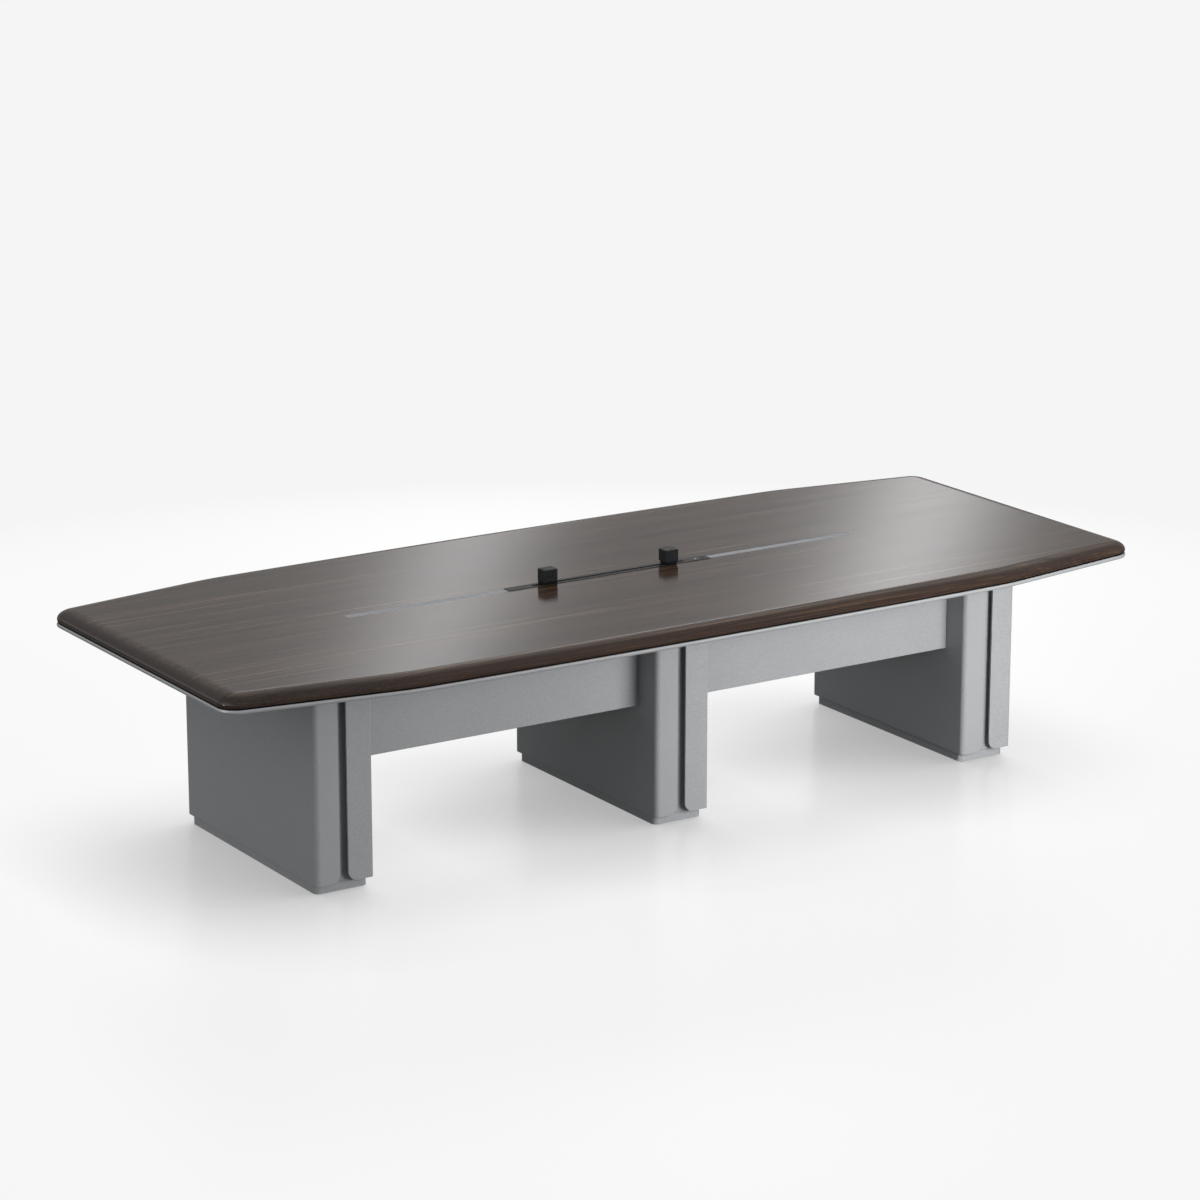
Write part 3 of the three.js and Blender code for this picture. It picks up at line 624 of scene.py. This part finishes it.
VENEER = Veneer(
    name="dark_veneer",
    slot="veneer",
    deep=(0.016, 0.008, 0.005),
    middle=(0.060, 0.033, 0.020),
    pale=(0.310, 0.190, 0.112),
    pore=(0.008, 0.005, 0.004),
    # Painted shade over the rounded edge
    edge_shade=(0.018, 0.0105, 0.008),
    edge_shade_share=0.80,
    edge_shade_level=(0.7496, 0.742),
    gloss=(0.13, 0.165),
)
BEAD = BrushedMetal(
    name="bead_silver",
    slot="bead_metal",
    colour=(0.50, 0.505, 0.515),
    shade=(0.41, 0.415, 0.425),
    gloss=(0.28, 0.40),
    metallic=0.55,
    # Painted shadow: the bead's top and the groove above it are painted black
    painted_shadow_from=0.7076,
)
INLAY = BrushedMetal(
    name="inlay_satin_silver",
    slot="inlay_silver",
    colour=(0.47, 0.50, 0.53),
    shade=(0.38, 0.40, 0.43),
    gloss=(0.30, 0.44),
)
TRACK = BrushedMetal(
    name="track_dark_anodised",
    slot="track_graphite",
    colour=(0.050, 0.050, 0.051),
    shade=(0.034, 0.034, 0.035),
    gloss=(0.36, 0.48),
    metallic=0.6,
)
TRAY = BrushedMetal(
    name="tray_sheet_steel",
    slot="steel",
    colour=(0.42, 0.43, 0.44),
    shade=(0.34, 0.35, 0.36),
    gloss=(0.36, 0.50),
    grain=Grain.ALONG_Y,
)
CONDUCTOR = BrushedMetal(
    name="bare_copper",
    slot="copper",
    colour=(0.72, 0.40, 0.24),
    shade=(0.58, 0.30, 0.17),
    gloss=(0.28, 0.42),
)
PEDESTAL = SprayedCoat(
    name="pedestal_grey_lacquer",
    slot="pedestal_grey",
    colour=(0.222, 0.227, 0.235),
    fleck=(0.320, 0.325, 0.333),
    gloss=(0.40, 0.52),
)
BOARD = SprayedCoat(
    name="black_faced_board",
    slot="board_black",
    colour=(0.012, 0.012, 0.012),
    fleck=(0.022, 0.022, 0.022),
    gloss=(0.60, 0.72),
)
PAD = MouldedPlastic(
    name="foot_black_plastic",
    slot="foot_black",
    colour=(0.012, 0.012, 0.012),
    worn=(0.025, 0.025, 0.025),
    gloss=(0.48, 0.62),
)
CUBE = MouldedPlastic(
    name="adapter_black_plastic",
    slot="adapter_black",
    colour=(0.012, 0.012, 0.013),
    worn=(0.018, 0.018, 0.019),
    gloss=(0.36, 0.46),
    sheen=0.25,
    dark_below=0.7602,
)
SOCKET = MouldedPlastic(
    name="socket_gloss_black",
    slot="socket_black",
    colour=(0.012, 0.012, 0.013),
    worn=(0.018, 0.018, 0.019),
    gloss=(0.26, 0.34),
    relief=0.03,
    sheen=0.3,
)
LINER = MouldedPlastic(
    name="liner_grey_plastic",
    slot="liner_grey",
    colour=(0.13, 0.13, 0.135),
    worn=(0.17, 0.17, 0.17),
    gloss=(0.5, 0.6),
)
LENS = MouldedPlastic(
    name="lens_white",
    slot="lens_white",
    colour=(0.85, 0.86, 0.87),
    worn=(0.80, 0.80, 0.80),
    gloss=(0.12, 0.18),
    relief=0.02,
)
FINISHES = (VENEER, BEAD, INLAY, TRACK, TRAY, CONDUCTOR, PEDESTAL, BOARD, PAD, CUBE, SOCKET, LINER, LENS)


# Mesh helpers


def to_mesh(form: bmesh.types.BMesh, name: str) -> bpy.types.Mesh:
    """Turns a form into a mesh.

    Args:
        form: The form, used up here.
        name: The mesh's name.

    Returns:
        The mesh.
    """
    mesh = bpy.data.meshes.new(name)
    form.to_mesh(mesh)
    form.free()
    return mesh


def loft(name: str, rings: list[list[Point]]) -> bpy.types.Mesh:
    """Skins rings of points and closes both ends.

    Args:
        name: The mesh's name.
        rings: The rings in order, in metres, all with the same number of points.

    Returns:
        The closed mesh.
    """
    form = bmesh.new()
    loops = [[form.verts.new(point) for point in ring] for ring in rings]
    for here, there in zip(loops, loops[1:]):
        for i in range(len(here)):
            j = (i + 1) % len(here)
            form.faces.new((here[i], here[j], there[j], there[i]))
    form.faces.new(loops[-1])
    form.faces.new(list(reversed(loops[0])))
    bmesh.ops.recalc_face_normals(form, faces=form.faces)
    return to_mesh(form, name)


@dataclass(frozen=True)
class OutlinePoint:
    """A point of the tabletop's outline and the direction that leads inwards."""

    at: Vector
    inward: Vector

    def inset(self, depth: float, level: float) -> Point:
        """The place inside of the point, in metres.

        Args:
            depth: Way inwards in millimetres.
            level: Height in millimetres.

        Returns:
            The place.
        """
        return (*(self.at + self.inward * depth * MM), level * MM)


def fillet_outline(
    corners: list[tuple[Vector, float]], turn_step: float, chord: float
) -> list[OutlinePoint]:
    """Rounds every corner of an anticlockwise outline.

    Args:
        corners: Each corner with its radius.
        turn_step: Most turn of one facet in radians.
        chord: Longest facet of an arc in metres.

    Returns:
        The outline's points in order.
    """
    points: list[OutlinePoint] = []
    for i, (at, radius) in enumerate(corners):
        arriving = (at - corners[i - 1][0]).normalized()
        leaving = (corners[(i + 1) % len(corners)][0] - at).normalized()
        turn = math.atan2(arriving.cross(leaving), arriving.dot(leaving))
        inward = Vector((-arriving.y, arriving.x))
        centre = at - arriving * radius * math.tan(turn / 2) + inward * radius
        steps = math.ceil(max(turn / turn_step, radius * turn / chord))
        for j in range(steps + 1):
            normal = Matrix.Rotation(turn * j / steps, 2) @ inward
            points.append(OutlinePoint(centre - normal * radius, normal))
    return points


def arc(
    centre: Span, radius: float, start: float, end: float, steps: int, stretch: float = 1.0
) -> list[Span]:
    """Points along an arc.

    Args:
        centre: The arc's centre.
        radius: Its radius.
        start: First angle in degrees.
        end: Last angle in degrees.
        steps: Number of facets.
        stretch: Width of the arc as a multiple of its height.

    Returns:
        The points in order.
    """
    angles = [math.radians(start + (end - start) * i / steps) for i in range(steps + 1)]
    return [(centre[0] + radius * stretch * math.cos(a), centre[1] + radius * math.sin(a)) for a in angles]


def cutting_block(low: Point, high: Point) -> bpy.types.Object:
    """Makes a block to cut with.

    Args:
        low: Lowest corner in metres.
        high: Highest corner in metres.

    Returns:
        The block, not yet in the scene.
    """
    form = bmesh.new()
    bmesh.ops.create_cube(form, size=1.0)
    middle = (Vector(low) + Vector(high)) / 2
    size = Vector(high) - Vector(low)
    placing = Matrix.Translation(middle) @ Matrix.Diagonal((*size, 1.0))
    bmesh.ops.transform(form, matrix=placing, verts=form.verts)
    return bpy.data.objects.new("cutting_block", to_mesh(form, "cutting_block"))


def cut_blocks(mesh: bpy.types.Mesh, blocks: list[bpy.types.Object]) -> bpy.types.Mesh:
    """Cuts blocks out of a closed mesh.

    Args:
        mesh: The mesh to cut.
        blocks: Cutting blocks, used up here.

    Returns:
        The cut mesh.
    """
    scene = bpy.context.scene
    body = bpy.data.objects.new("cut_body", mesh)
    scene.collection.objects.link(body)
    for block in blocks:
        scene.collection.objects.link(block)
        modifier = body.modifiers.new("cut", "BOOLEAN")
        modifier.operation = "DIFFERENCE"
        modifier.solver = "EXACT"
        modifier.object = block
    bpy.context.view_layer.update()
    evaluated = body.evaluated_get(bpy.context.evaluated_depsgraph_get())
    result = bpy.data.meshes.new_from_object(evaluated)
    for helper in (body, *blocks):
        bpy.data.objects.remove(helper)
    return result


class Workshop:
    """Makes finished pieces: it holds the materials and knows which body each node belongs to."""

    def __init__(self) -> None:
        """Builds every material once and looks up the slots and bodies."""
        groups = EffectGroups()
        self.materials = {finish.slot: finish.material(groups) for finish in FINISHES}
        record = frame["record"]
        self.slots = {part["node"]: part["material_slot"] for part in record["subparts"]}
        bodies = record["behaviour"]["bodies"]
        self.bodies = {node: body for body, nodes in bodies.items() for node in nodes}

    def dress(self, node: str) -> None:
        """Gives a CAD node that stays in view its finish.

        Args:
            node: The node's name.
        """
        obj = frame["nodes"][node]
        material = self.materials[self.slots[node]]
        if obj.material_slots:
            obj.material_slots[0].material = material
        else:
            obj.data.materials.append(material)
        LOG.info("dressed %s", node)

    def finish(self, node: str, mesh: bpy.types.Mesh, crease: float = 35.0) -> None:
        """Puts a new mesh in a node's place.

        Args:
            node: The node that the mesh stands for.
            mesh: The new mesh, in the shared frame.
            crease: Edges sharper than this many degrees stay sharp.
        """
        slot = self.slots[node]
        mesh.materials.clear()
        mesh.materials.append(self.materials[slot])
        mesh.shade_smooth()
        mesh.set_sharp_from_angle(angle=math.radians(crease))
        piece = bpy.data.objects.new(f"{node}.piece", mesh)
        bpy.context.scene.collection.objects.link(piece)
        weighted = piece.modifiers.new("even_faces", "WEIGHTED_NORMAL")
        weighted.keep_sharp = True
        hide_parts(node)
        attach(piece, self.bodies[node])
        LOG.info("finished %s with %d faces", node, len(mesh.polygons))

    def soften(self, node: str, width: float, steps: int = 2) -> None:
        """Stands a copy with rounded edges in a node's place.

        Args:
            node: The node to copy.
            width: Width of the rounding in millimetres.
            steps: Facets across the rounding.
        """
        form = bmesh.new()
        form.from_mesh(frame["nodes"][node].data)
        bmesh.ops.remove_doubles(form, verts=form.verts, dist=WELD)
        bmesh.ops.dissolve_limit(form, angle_limit=FLAT_ANGLE, verts=form.verts, edges=form.edges)
        shared = [edge for edge in form.edges if edge.is_manifold]
        sharp = [edge for edge in shared if edge.calc_face_angle(0.0) > SHARP_ANGLE]
        bmesh.ops.bevel(
            form,
            geom=sharp,
            offset=width * MM,
            offset_type="OFFSET",
            segments=steps,
            profile=0.5,
            affect="EDGES",
            clamp_overlap=True,
            miter_outer="ARC",
        )
        self.finish(node, to_mesh(form, f"{node}.soft"))


# The table's sub-assemblies, with sizes in millimetres and angles in degrees


@dataclass
class Tabletop:
    """The boat-shaped wood top, its metal edge trim and the silver inlay."""

    length: float = 3510.0
    end_width: float = 1218.0
    kink_x: float = 1154.0
    kink_rise: float = 97.0
    bow_rise: float = 14.0
    kink_blend: float = 100.0
    kink_radius: float = 900.0
    corner_radius: float = 70.0
    turn_step: float = 3.0
    chord: float = 60.0
    height: float = 750.0
    thick: float = 38.0
    upper_round: float = 30.0
    upper_stretch: float = 2.0
    upper_steps: int = 18
    lower_arris: float = 4.0
    lower_steps: int = 5
    setback: float = 1.5
    groove_height: float = 3.0
    groove_depth: float = 9.0
    bead: float = 15.0
    bead_steps: int = 20
    trim_width: float = 32.0
    joint_x: float = 1450.0
    seat_gap: float = 0.3
    track_length: float = 800.0
    track_width: float = 36.0
    inlay_end: float = 1000.0
    inlay_width: float = 30.0
    inlay_thick: float = 2.0
    inlay_edge: float = 0.3
    overcut: float = 5.0
    cut_lap: float = 1.0
    crease: float = 40.0

    def outline(self) -> list[OutlinePoint]:
        """Rounds the boat-shaped outline of the top.

        Returns:
            Its points in metres, anticlockwise from the right end of the back side.
        """
        reach = self.kink_x - self.kink_blend
        bow_radius = (reach**2 / 2 + reach * self.kink_blend) / self.bow_rise
        kink_y = self.end_width / 2 + self.kink_rise
        apex_y = kink_y + self.kink_x * reach / bow_radius
        back = [
            (self.length / 2, self.end_width / 2, self.corner_radius),
            (self.kink_x, kink_y, self.kink_radius),
            (0.0, apex_y, bow_radius),
            (-self.kink_x, kink_y, self.kink_radius),
            (-self.length / 2, self.end_width / 2, self.corner_radius),
        ]
        front = [(-x, -y, radius) for x, y, radius in back]
        corners = [(Vector((x, y)) * MM, radius * MM) for x, y, radius in back + front]
        return fillet_outline(corners, math.radians(self.turn_step), self.chord * MM)

    def wood(self, shop: Workshop) -> None:
        """Lofts the wood through its rounded edge and cuts the track and inlay out of it.

        Args:
            shop: Maker of finished pieces.
        """
        bottom = self.height - self.thick
        arris = self.lower_arris
        lower = arc((self.setback + arris, bottom + arris), arris, 270, 180, self.lower_steps)
        centre = (self.setback + self.upper_round * self.upper_stretch, self.height - self.upper_round)
        upper = arc(centre, self.upper_round, 180, 90, self.upper_steps, self.upper_stretch)
        outline = self.outline()
        rings = [[point.inset(depth, level) for point in outline] for depth, level in lower + upper]
        half = self.track_width / 2 * MM
        end = self.track_length / 2 * MM
        top = (self.height + self.overcut) * MM
        far = (self.inlay_end + self.seat_gap) * MM
        side = (self.inlay_width / 2 + self.seat_gap) * MM
        floor = (self.height - self.inlay_thick - self.seat_gap) * MM
        lap = self.cut_lap * MM
        blocks = [
            cutting_block((-end, -half, (bottom - self.overcut) * MM), (end, half, top)),
            cutting_block((-far, -side, floor), (-end + lap, side, top)),
            cutting_block((end - lap, -side, floor), (far, side, top)),
        ]
        shop.finish("wood_top", cut_blocks(loft("wood_top.lofted", rings), blocks), self.crease)

    def trim_profile(self) -> list[Span]:
        """Draws the trim's section.

        Returns:
            Inset and level of its points, in order around the section.
        """
        low = self.height - self.thick - self.groove_height - self.bead
        high = self.height - self.thick - self.seat_gap
        radius = self.bead / 2
        bead = arc((radius, low + radius), radius, 270, 90, self.bead_steps)
        groove = [(self.groove_depth, low + self.bead), (self.groove_depth, high), (self.trim_width, high)]
        return [(self.trim_width, low), *bead, *groove]

    def split(self, low_x: float, high_x: float, start: int) -> list[OutlinePoint]:
        """The stretch of outline between two places along the table.

        Args:
            low_x: Lower limit of X in metres.
            high_x: Upper limit of X in metres.
            start: Index of an outline point outside the stretch, where the walk begins.

        Returns:
            The stretch, with a point of its own at each limit.
        """
        outline = self.outline()
        walk = outline[start:] + outline[:start] + [outline[start]]
        run: list[OutlinePoint] = []
        for here, there in zip(walk, walk[1:]):
            inside = low_x <= here.at.x <= high_x
            if inside:
                run.append(here)
            if inside != (low_x <= there.at.x <= high_x):
                outer = there.at.x if inside else here.at.x
                edge = low_x if outer < low_x else high_x
                share = (edge - here.at.x) / (there.at.x - here.at.x)
                inward = here.inward.lerp(there.inward, share).normalized()
                run.append(OutlinePoint(here.at.lerp(there.at, share), inward))
        return run

    def farthest(self, x: float, y: float) -> int:
        """Finds the end of the outline in a direction.

        Args:
            x: The direction's part along the table.
            y: Its part across the table.

        Returns:
            Index of the outline point that lies farthest that way.
        """
        ways = [point.at.dot(Vector((x, y))) for point in self.outline()]
        return ways.index(max(ways))

    def trims(self, shop: Workshop) -> None:
        """Sweeps the four lengths of edge trim.

        Args:
            shop: Maker of finished pieces.
        """
        inner = (self.joint_x - self.seat_gap / 2) * MM
        outer = inner + self.seat_gap * MM
        far = self.length * MM
        back = self.split(-inner, inner, self.farthest(1.0, 0.0))
        front = self.split(-inner, inner, self.farthest(-1.0, 0.0))
        runs = {
            "back_edge_trim": [point for point in back if point.at.y > 0],
            "front_edge_trim": [point for point in front if point.at.y < 0],
            "right_edge_trim": self.split(outer, far, self.farthest(0.0, -1.0)),
            "left_edge_trim": self.split(-far, -outer, self.farthest(0.0, 1.0)),
        }
        profile = self.trim_profile()
        for node, run in runs.items():
            sections = [[point.inset(depth, level) for depth, level in profile] for point in run]
            shop.finish(node, loft(f"{node}.swept", sections), self.crease)

    def build(self, shop: Workshop) -> None:
        """Builds the wood, the trim and the inlay, and dresses the board beneath.

        Args:
            shop: Maker of finished pieces.
        """
        self.wood(shop)
        self.trims(shop)
        for side in Side:
            shop.soften(f"{side.value}_inlay_strip", self.inlay_edge)
        shop.dress("sub_top")


@dataclass
class PowerTrack:
    """The track let into the middle of the top."""

    edge: float = 0.35
    switch_edge: float = 0.7
    switch_steps: int = 3
    lens_edge: float = 0.3

    def build(self, shop: Workshop) -> None:
        """Softens the metal, the switch and the window, and dresses what lies inside.

        Args:
            shop: Maker of finished pieces.
        """
        for node in ("track_body", "track_feed_housing", "track_switch_housing"):
            shop.soften(node, self.edge)
        shop.soften("switch_button", self.switch_edge, self.switch_steps)
        shop.soften("indicator_lens", self.lens_edge)
        for node in ("front_track_liner", "back_track_liner", "front_busbar", "back_busbar", "feed_inlet"):
            shop.dress(node)


@dataclass
class PowerAdapter:
    """A black cube with a socket face that slides and twists in the track."""

    side: Side
    shell_edge: float = 0.7
    base_edge: float = 0.5
    socket_edge: float = 0.3

    def build(self, shop: Workshop) -> None:
        """Softens the cube, its base and its socket face, and dresses the spindle.

        Args:
            shop: Maker of finished pieces.
        """
        name = f"{self.side.value}_adapter"
        shop.soften(f"{name}_base", self.base_edge)
        shop.soften(f"{name}_shell", self.shell_edge)
        shop.soften(f"{name}_socket", self.socket_edge)
        shop.dress(f"{name}_spindle")


@dataclass
class Pedestal:
    """A slab pedestal: plinth, core, two wraps, head plate and levelling feet."""

    post: Post
    board_edge: float = 1.4
    wrap_edge: float = 1.8
    wrap_steps: int = 3
    feet: int = 4

    def build(self, shop: Workshop) -> None:
        """Softens the boards and dresses the hidden pieces.

        Args:
            shop: Maker of finished pieces.
        """
        name = f"{self.post.value}_pedestal"
        for part in ("plinth", "core"):
            shop.soften(f"{name}_{part}", self.board_edge)
        for part in ("rounded_wrap", "lapped_wrap"):
            shop.soften(f"{name}_{part}", self.wrap_edge, self.wrap_steps)
        shop.dress(f"{name}_head_plate")
        for number in range(1, self.feet + 1):
            shop.dress(f"{name}_foot_{number}")


@dataclass
class Bay:
    """The aprons and the cable tray between two pedestals."""

    side: Side
    apron_edge: float = 1.0

    def build(self, shop: Workshop) -> None:
        """Softens the aprons and dresses the tray.

        Args:
            shop: Maker of finished pieces.
        """
        name = f"{self.side.value}_bay"
        for face in ("front", "back"):
            shop.soften(f"{name}_{face}_apron", self.apron_edge)
        shop.dress(f"{name}_cable_tray")


# The studio, with places in metres and angles in degrees


@dataclass(frozen=True)
class SkyStrip:
    """A bright leaning strip of sky that is mirrored in the lacquered top."""

    bearing: float
    spread: float
    strength: float
    lean: float = -0.38
    rise: float = 17.0
    low: float = 9.0
    high: float = 34.0
    full_below: float = 3.0
    full_above: float = 5.0

    def glow(self, tree: Tree, direction: Socket) -> Socket:
        """Brightness of the strip.

        Args:
            tree: The sky's tree.
            direction: Socket with the direction looked at.

        Returns:
            The brightness that it adds.
        """
        parts = tree.nodes.new("ShaderNodeSeparateXYZ")
        link(tree, direction, parts.inputs[0])
        bearing = math_node(tree, "ARCTAN2", parts.outputs["X"], parts.outputs["Y"])
        rise = math_node(tree, "ARCSINE", parts.outputs["Z"])
        start = math.radians(self.bearing - self.lean * self.rise)
        middle = math_node(tree, "MULTIPLY_ADD", rise, self.lean, start)
        offset = math_node(tree, "SUBTRACT", bearing, middle)
        away = math_node(tree, "DIVIDE", offset, math.radians(self.spread))
        square = math_node(tree, "MULTIPLY", away, away)
        bell = math_node(tree, "EXPONENT", math_node(tree, "MULTIPLY", square, -1.0))
        below = band(tree, rise, math.radians(self.low), math.radians(self.rise - self.full_below))
        above = band(tree, rise, math.radians(self.high), math.radians(self.rise + self.full_above))
        window = math_node(tree, "MULTIPLY", below, above)
        return math_node(tree, "MULTIPLY", math_node(tree, "MULTIPLY", bell, window), self.strength)


@dataclass(frozen=True)
class Lamp:
    """A soft square lamp, its power in watts. Only a mirrored one shows as a highlight."""

    name: str
    place: Point
    aim: Point
    size: float
    power: float
    mirrored: bool = False

    def hang(self) -> None:
        """Puts the lamp in its place."""
        data = bpy.data.lights.new(self.name, "AREA")
        data.shape = "SQUARE"
        data.size = self.size
        data.energy = self.power
        obj = bpy.data.objects.new(self.name, data)
        place = Vector(self.place)
        obj.location = place
        obj.rotation_euler = (Vector(self.aim) - place).to_track_quat("-Z", "Y").to_euler()
        obj.visible_camera = False
        obj.visible_glossy = self.mirrored
        bpy.context.scene.collection.objects.link(obj)


@dataclass
class Studio:
    """Camera, soft light and the pale floor."""

    place: Point = (-6.8662, -10.6341, 4.1154)
    heading: float = 32.719
    dip: float = 15.279
    lens: float = 117.65
    sensor: float = 36.0
    clip_end: float = 400.0
    floor_size: float = 120.0
    floor_roughness: float = 0.28
    bounce: float = 0.18
    lift: float = 0.913
    mirror: float = 0.3
    mirror_share: float = 0.037
    mirror_reach: Span = (4.5, 2.0)
    shade: float = 0.68
    shade_reach: float = 0.75
    shade_samples: int = 24
    shade_lean: Point = (0.55, 0.30, 0.78)
    sky_colour: Colour = (0.985, 0.99, 1.0)
    sky_level: float = 0.37
    glow: float = 1.0
    glow_bearing: float = -95.0
    glow_rise: float = 12.0
    glow_focus: float = 5.0
    lamps: tuple[Lamp, ...] = (
        Lamp("key_lamp", place=(1.3, -2.6, 0.9), aim=(1.3, -0.4, 0.4), size=1.3, power=66.0),
        Lamp("fill_lamp", place=(1.2, -6.0, 1.4), aim=(0.0, -0.4, 0.4), size=1.6, power=175.0),
        Lamp("back_lamp", place=(0.4, 6.0, 1.4), aim=(0.0, 0.4, 0.4), size=3.0, power=110.0),
        Lamp(
            "corner_lamp",
            place=(-9.0, -0.1, 0.8),
            aim=(-1.7, -0.6, 0.72),
            size=0.5,
            power=36.0,
            mirrored=True,
        ),
    )
    strips: tuple[SkyStrip, ...] = (
        SkyStrip(bearing=29.7, spread=0.7, strength=2.2),
        SkyStrip(bearing=36.5, spread=0.82, strength=2.8),
        SkyStrip(bearing=42.0, spread=14.0, strength=0.2, lean=0.0, rise=38.0, low=19.0, high=75.0),
        SkyStrip(bearing=-33.0, spread=12.0, strength=0.3, lean=0.0, rise=4.0, low=-10.0, high=26.0),
    )

    def camera(self) -> None:
        """Sets the camera at the photograph's viewing angle."""
        data = bpy.data.cameras.new("studio_camera")
        data.lens = self.lens
        data.sensor_width = self.sensor
        data.clip_end = self.clip_end
        camera = bpy.data.objects.new("studio_camera", data)
        camera.location = self.place
        camera.rotation_euler = (math.radians(90 - self.dip), 0.0, math.radians(-self.heading))
        bpy.context.scene.collection.objects.link(camera)
        bpy.context.scene.camera = camera

    def floor_finish(self) -> bpy.types.Material:
        """Makes the floor's material.

        Returns:
            The material, evenly pale to the camera, with soft shade and a faint mirror image.
        """
        material = bpy.data.materials.new("studio_floor_white")
        material.use_nodes = True
        tree = material.node_tree
        shader = tree.nodes["Principled BSDF"]
        rays = tree.nodes.new("ShaderNodeLightPath")
        seen = rays.outputs["Is Camera Ray"]
        # Painted shade: ambient occlusion, leaning to one side, darkens the floor's glow near the table
        shelter = tree.nodes.new("ShaderNodeAmbientOcclusion")
        shelter.samples = self.shade_samples
        shelter.inputs["Distance"].default_value = self.shade_reach
        lean = tree.nodes.new("ShaderNodeCombineXYZ")
        for target, value in zip(lean.inputs, self.shade_lean):
            feed(tree, value, target)
        link(tree, lean.outputs[0], shelter.inputs["Normal"])
        open_share = math_node(tree, "MULTIPLY_ADD", shelter.outputs["AO"], self.shade, 1.0 - self.shade)
        place = tree.nodes.new("ShaderNodeTexCoord")
        distance = vector_node(tree, "LENGTH", place.outputs["Object"])
        polished = band(tree, distance.outputs["Value"], *self.mirror_reach)
        link(tree, math_node(tree, "MULTIPLY", polished, self.mirror), shader.inputs["Specular IOR Level"])
        even = math_node(tree, "MULTIPLY_ADD", polished, -self.mirror_share, self.lift)
        share = math_node(tree, "MULTIPLY_ADD", seen, 1.0 - self.bounce, self.bounce)
        glow = math_node(tree, "MULTIPLY", math_node(tree, "MULTIPLY", open_share, even), share)
        feed(tree, (1.0, 1.0, 1.0), shader.inputs["Emission Color"])
        feed(tree, glow, shader.inputs["Emission Strength"])
        feed(tree, (0.0, 0.0, 0.0), shader.inputs["Base Color"])
        feed(tree, self.floor_roughness, shader.inputs["Roughness"])
        return material

    def floor(self) -> None:
        """Lays the floor."""
        form = bmesh.new()
        bmesh.ops.create_grid(form, x_segments=1, y_segments=1, size=self.floor_size / 2)
        mesh = to_mesh(form, "studio_floor")
        mesh.materials.append(self.floor_finish())
        obj = bpy.data.objects.new("studio_floor", mesh)
        bpy.context.scene.collection.objects.link(obj)

    def sky(self) -> None:
        """Surrounds the scene with soft white: a broad glow on the table's left, and the strips."""
        world = bpy.data.worlds.new("studio_sky")
        world.use_nodes = True
        tree = world.node_tree
        background = tree.nodes["Background"]
        coordinates = tree.nodes.new("ShaderNodeTexCoord")
        direction = coordinates.outputs["Generated"]
        bearing, rise = math.radians(self.glow_bearing), math.radians(self.glow_rise)
        side = vector_node(tree, "DOT_PRODUCT", direction)
        side.inputs[1].default_value = (
            math.sin(bearing) * math.cos(rise),
            math.cos(bearing) * math.cos(rise),
            math.sin(rise),
        )
        facing = math_node(tree, "MAXIMUM", side.outputs["Value"], 0.0)
        lobe = math_node(tree, "POWER", facing, self.glow_focus)
        strength = math_node(tree, "MULTIPLY_ADD", lobe, self.glow, self.sky_level)
        for strip in self.strips:
            strength = math_node(tree, "ADD", strength, strip.glow(tree, direction))
        rays = tree.nodes.new("ShaderNodeLightPath")
        seen = rays.outputs["Is Camera Ray"]
        unseen = math_node(tree, "MULTIPLY", strength, math_node(tree, "SUBTRACT", 1.0, seen))
        feed(tree, math_node(tree, "MULTIPLY_ADD", seen, self.lift, unseen), background.inputs["Strength"])
        feed(tree, self.sky_colour, background.inputs["Color"])
        bpy.context.scene.world = world

    def build(self) -> None:
        """Sets up the whole studio."""
        self.camera()
        self.floor()
        self.sky()
        for lamp in self.lamps:
            lamp.hang()
        bpy.context.scene.view_settings.view_transform = "Standard"


def main() -> None:
    """Builds the table and its studio."""
    logging.basicConfig(level=logging.INFO)
    shop = Workshop()
    Tabletop().build(shop)
    PowerTrack().build(shop)
    for side in Side:
        PowerAdapter(side).build(shop)
        Bay(side).build(shop)
    for post in Post:
        Pedestal(post).build(shop)
    Studio().build()
    bpy.context.view_layer.update()


if __name__ == "__main__":
    main()
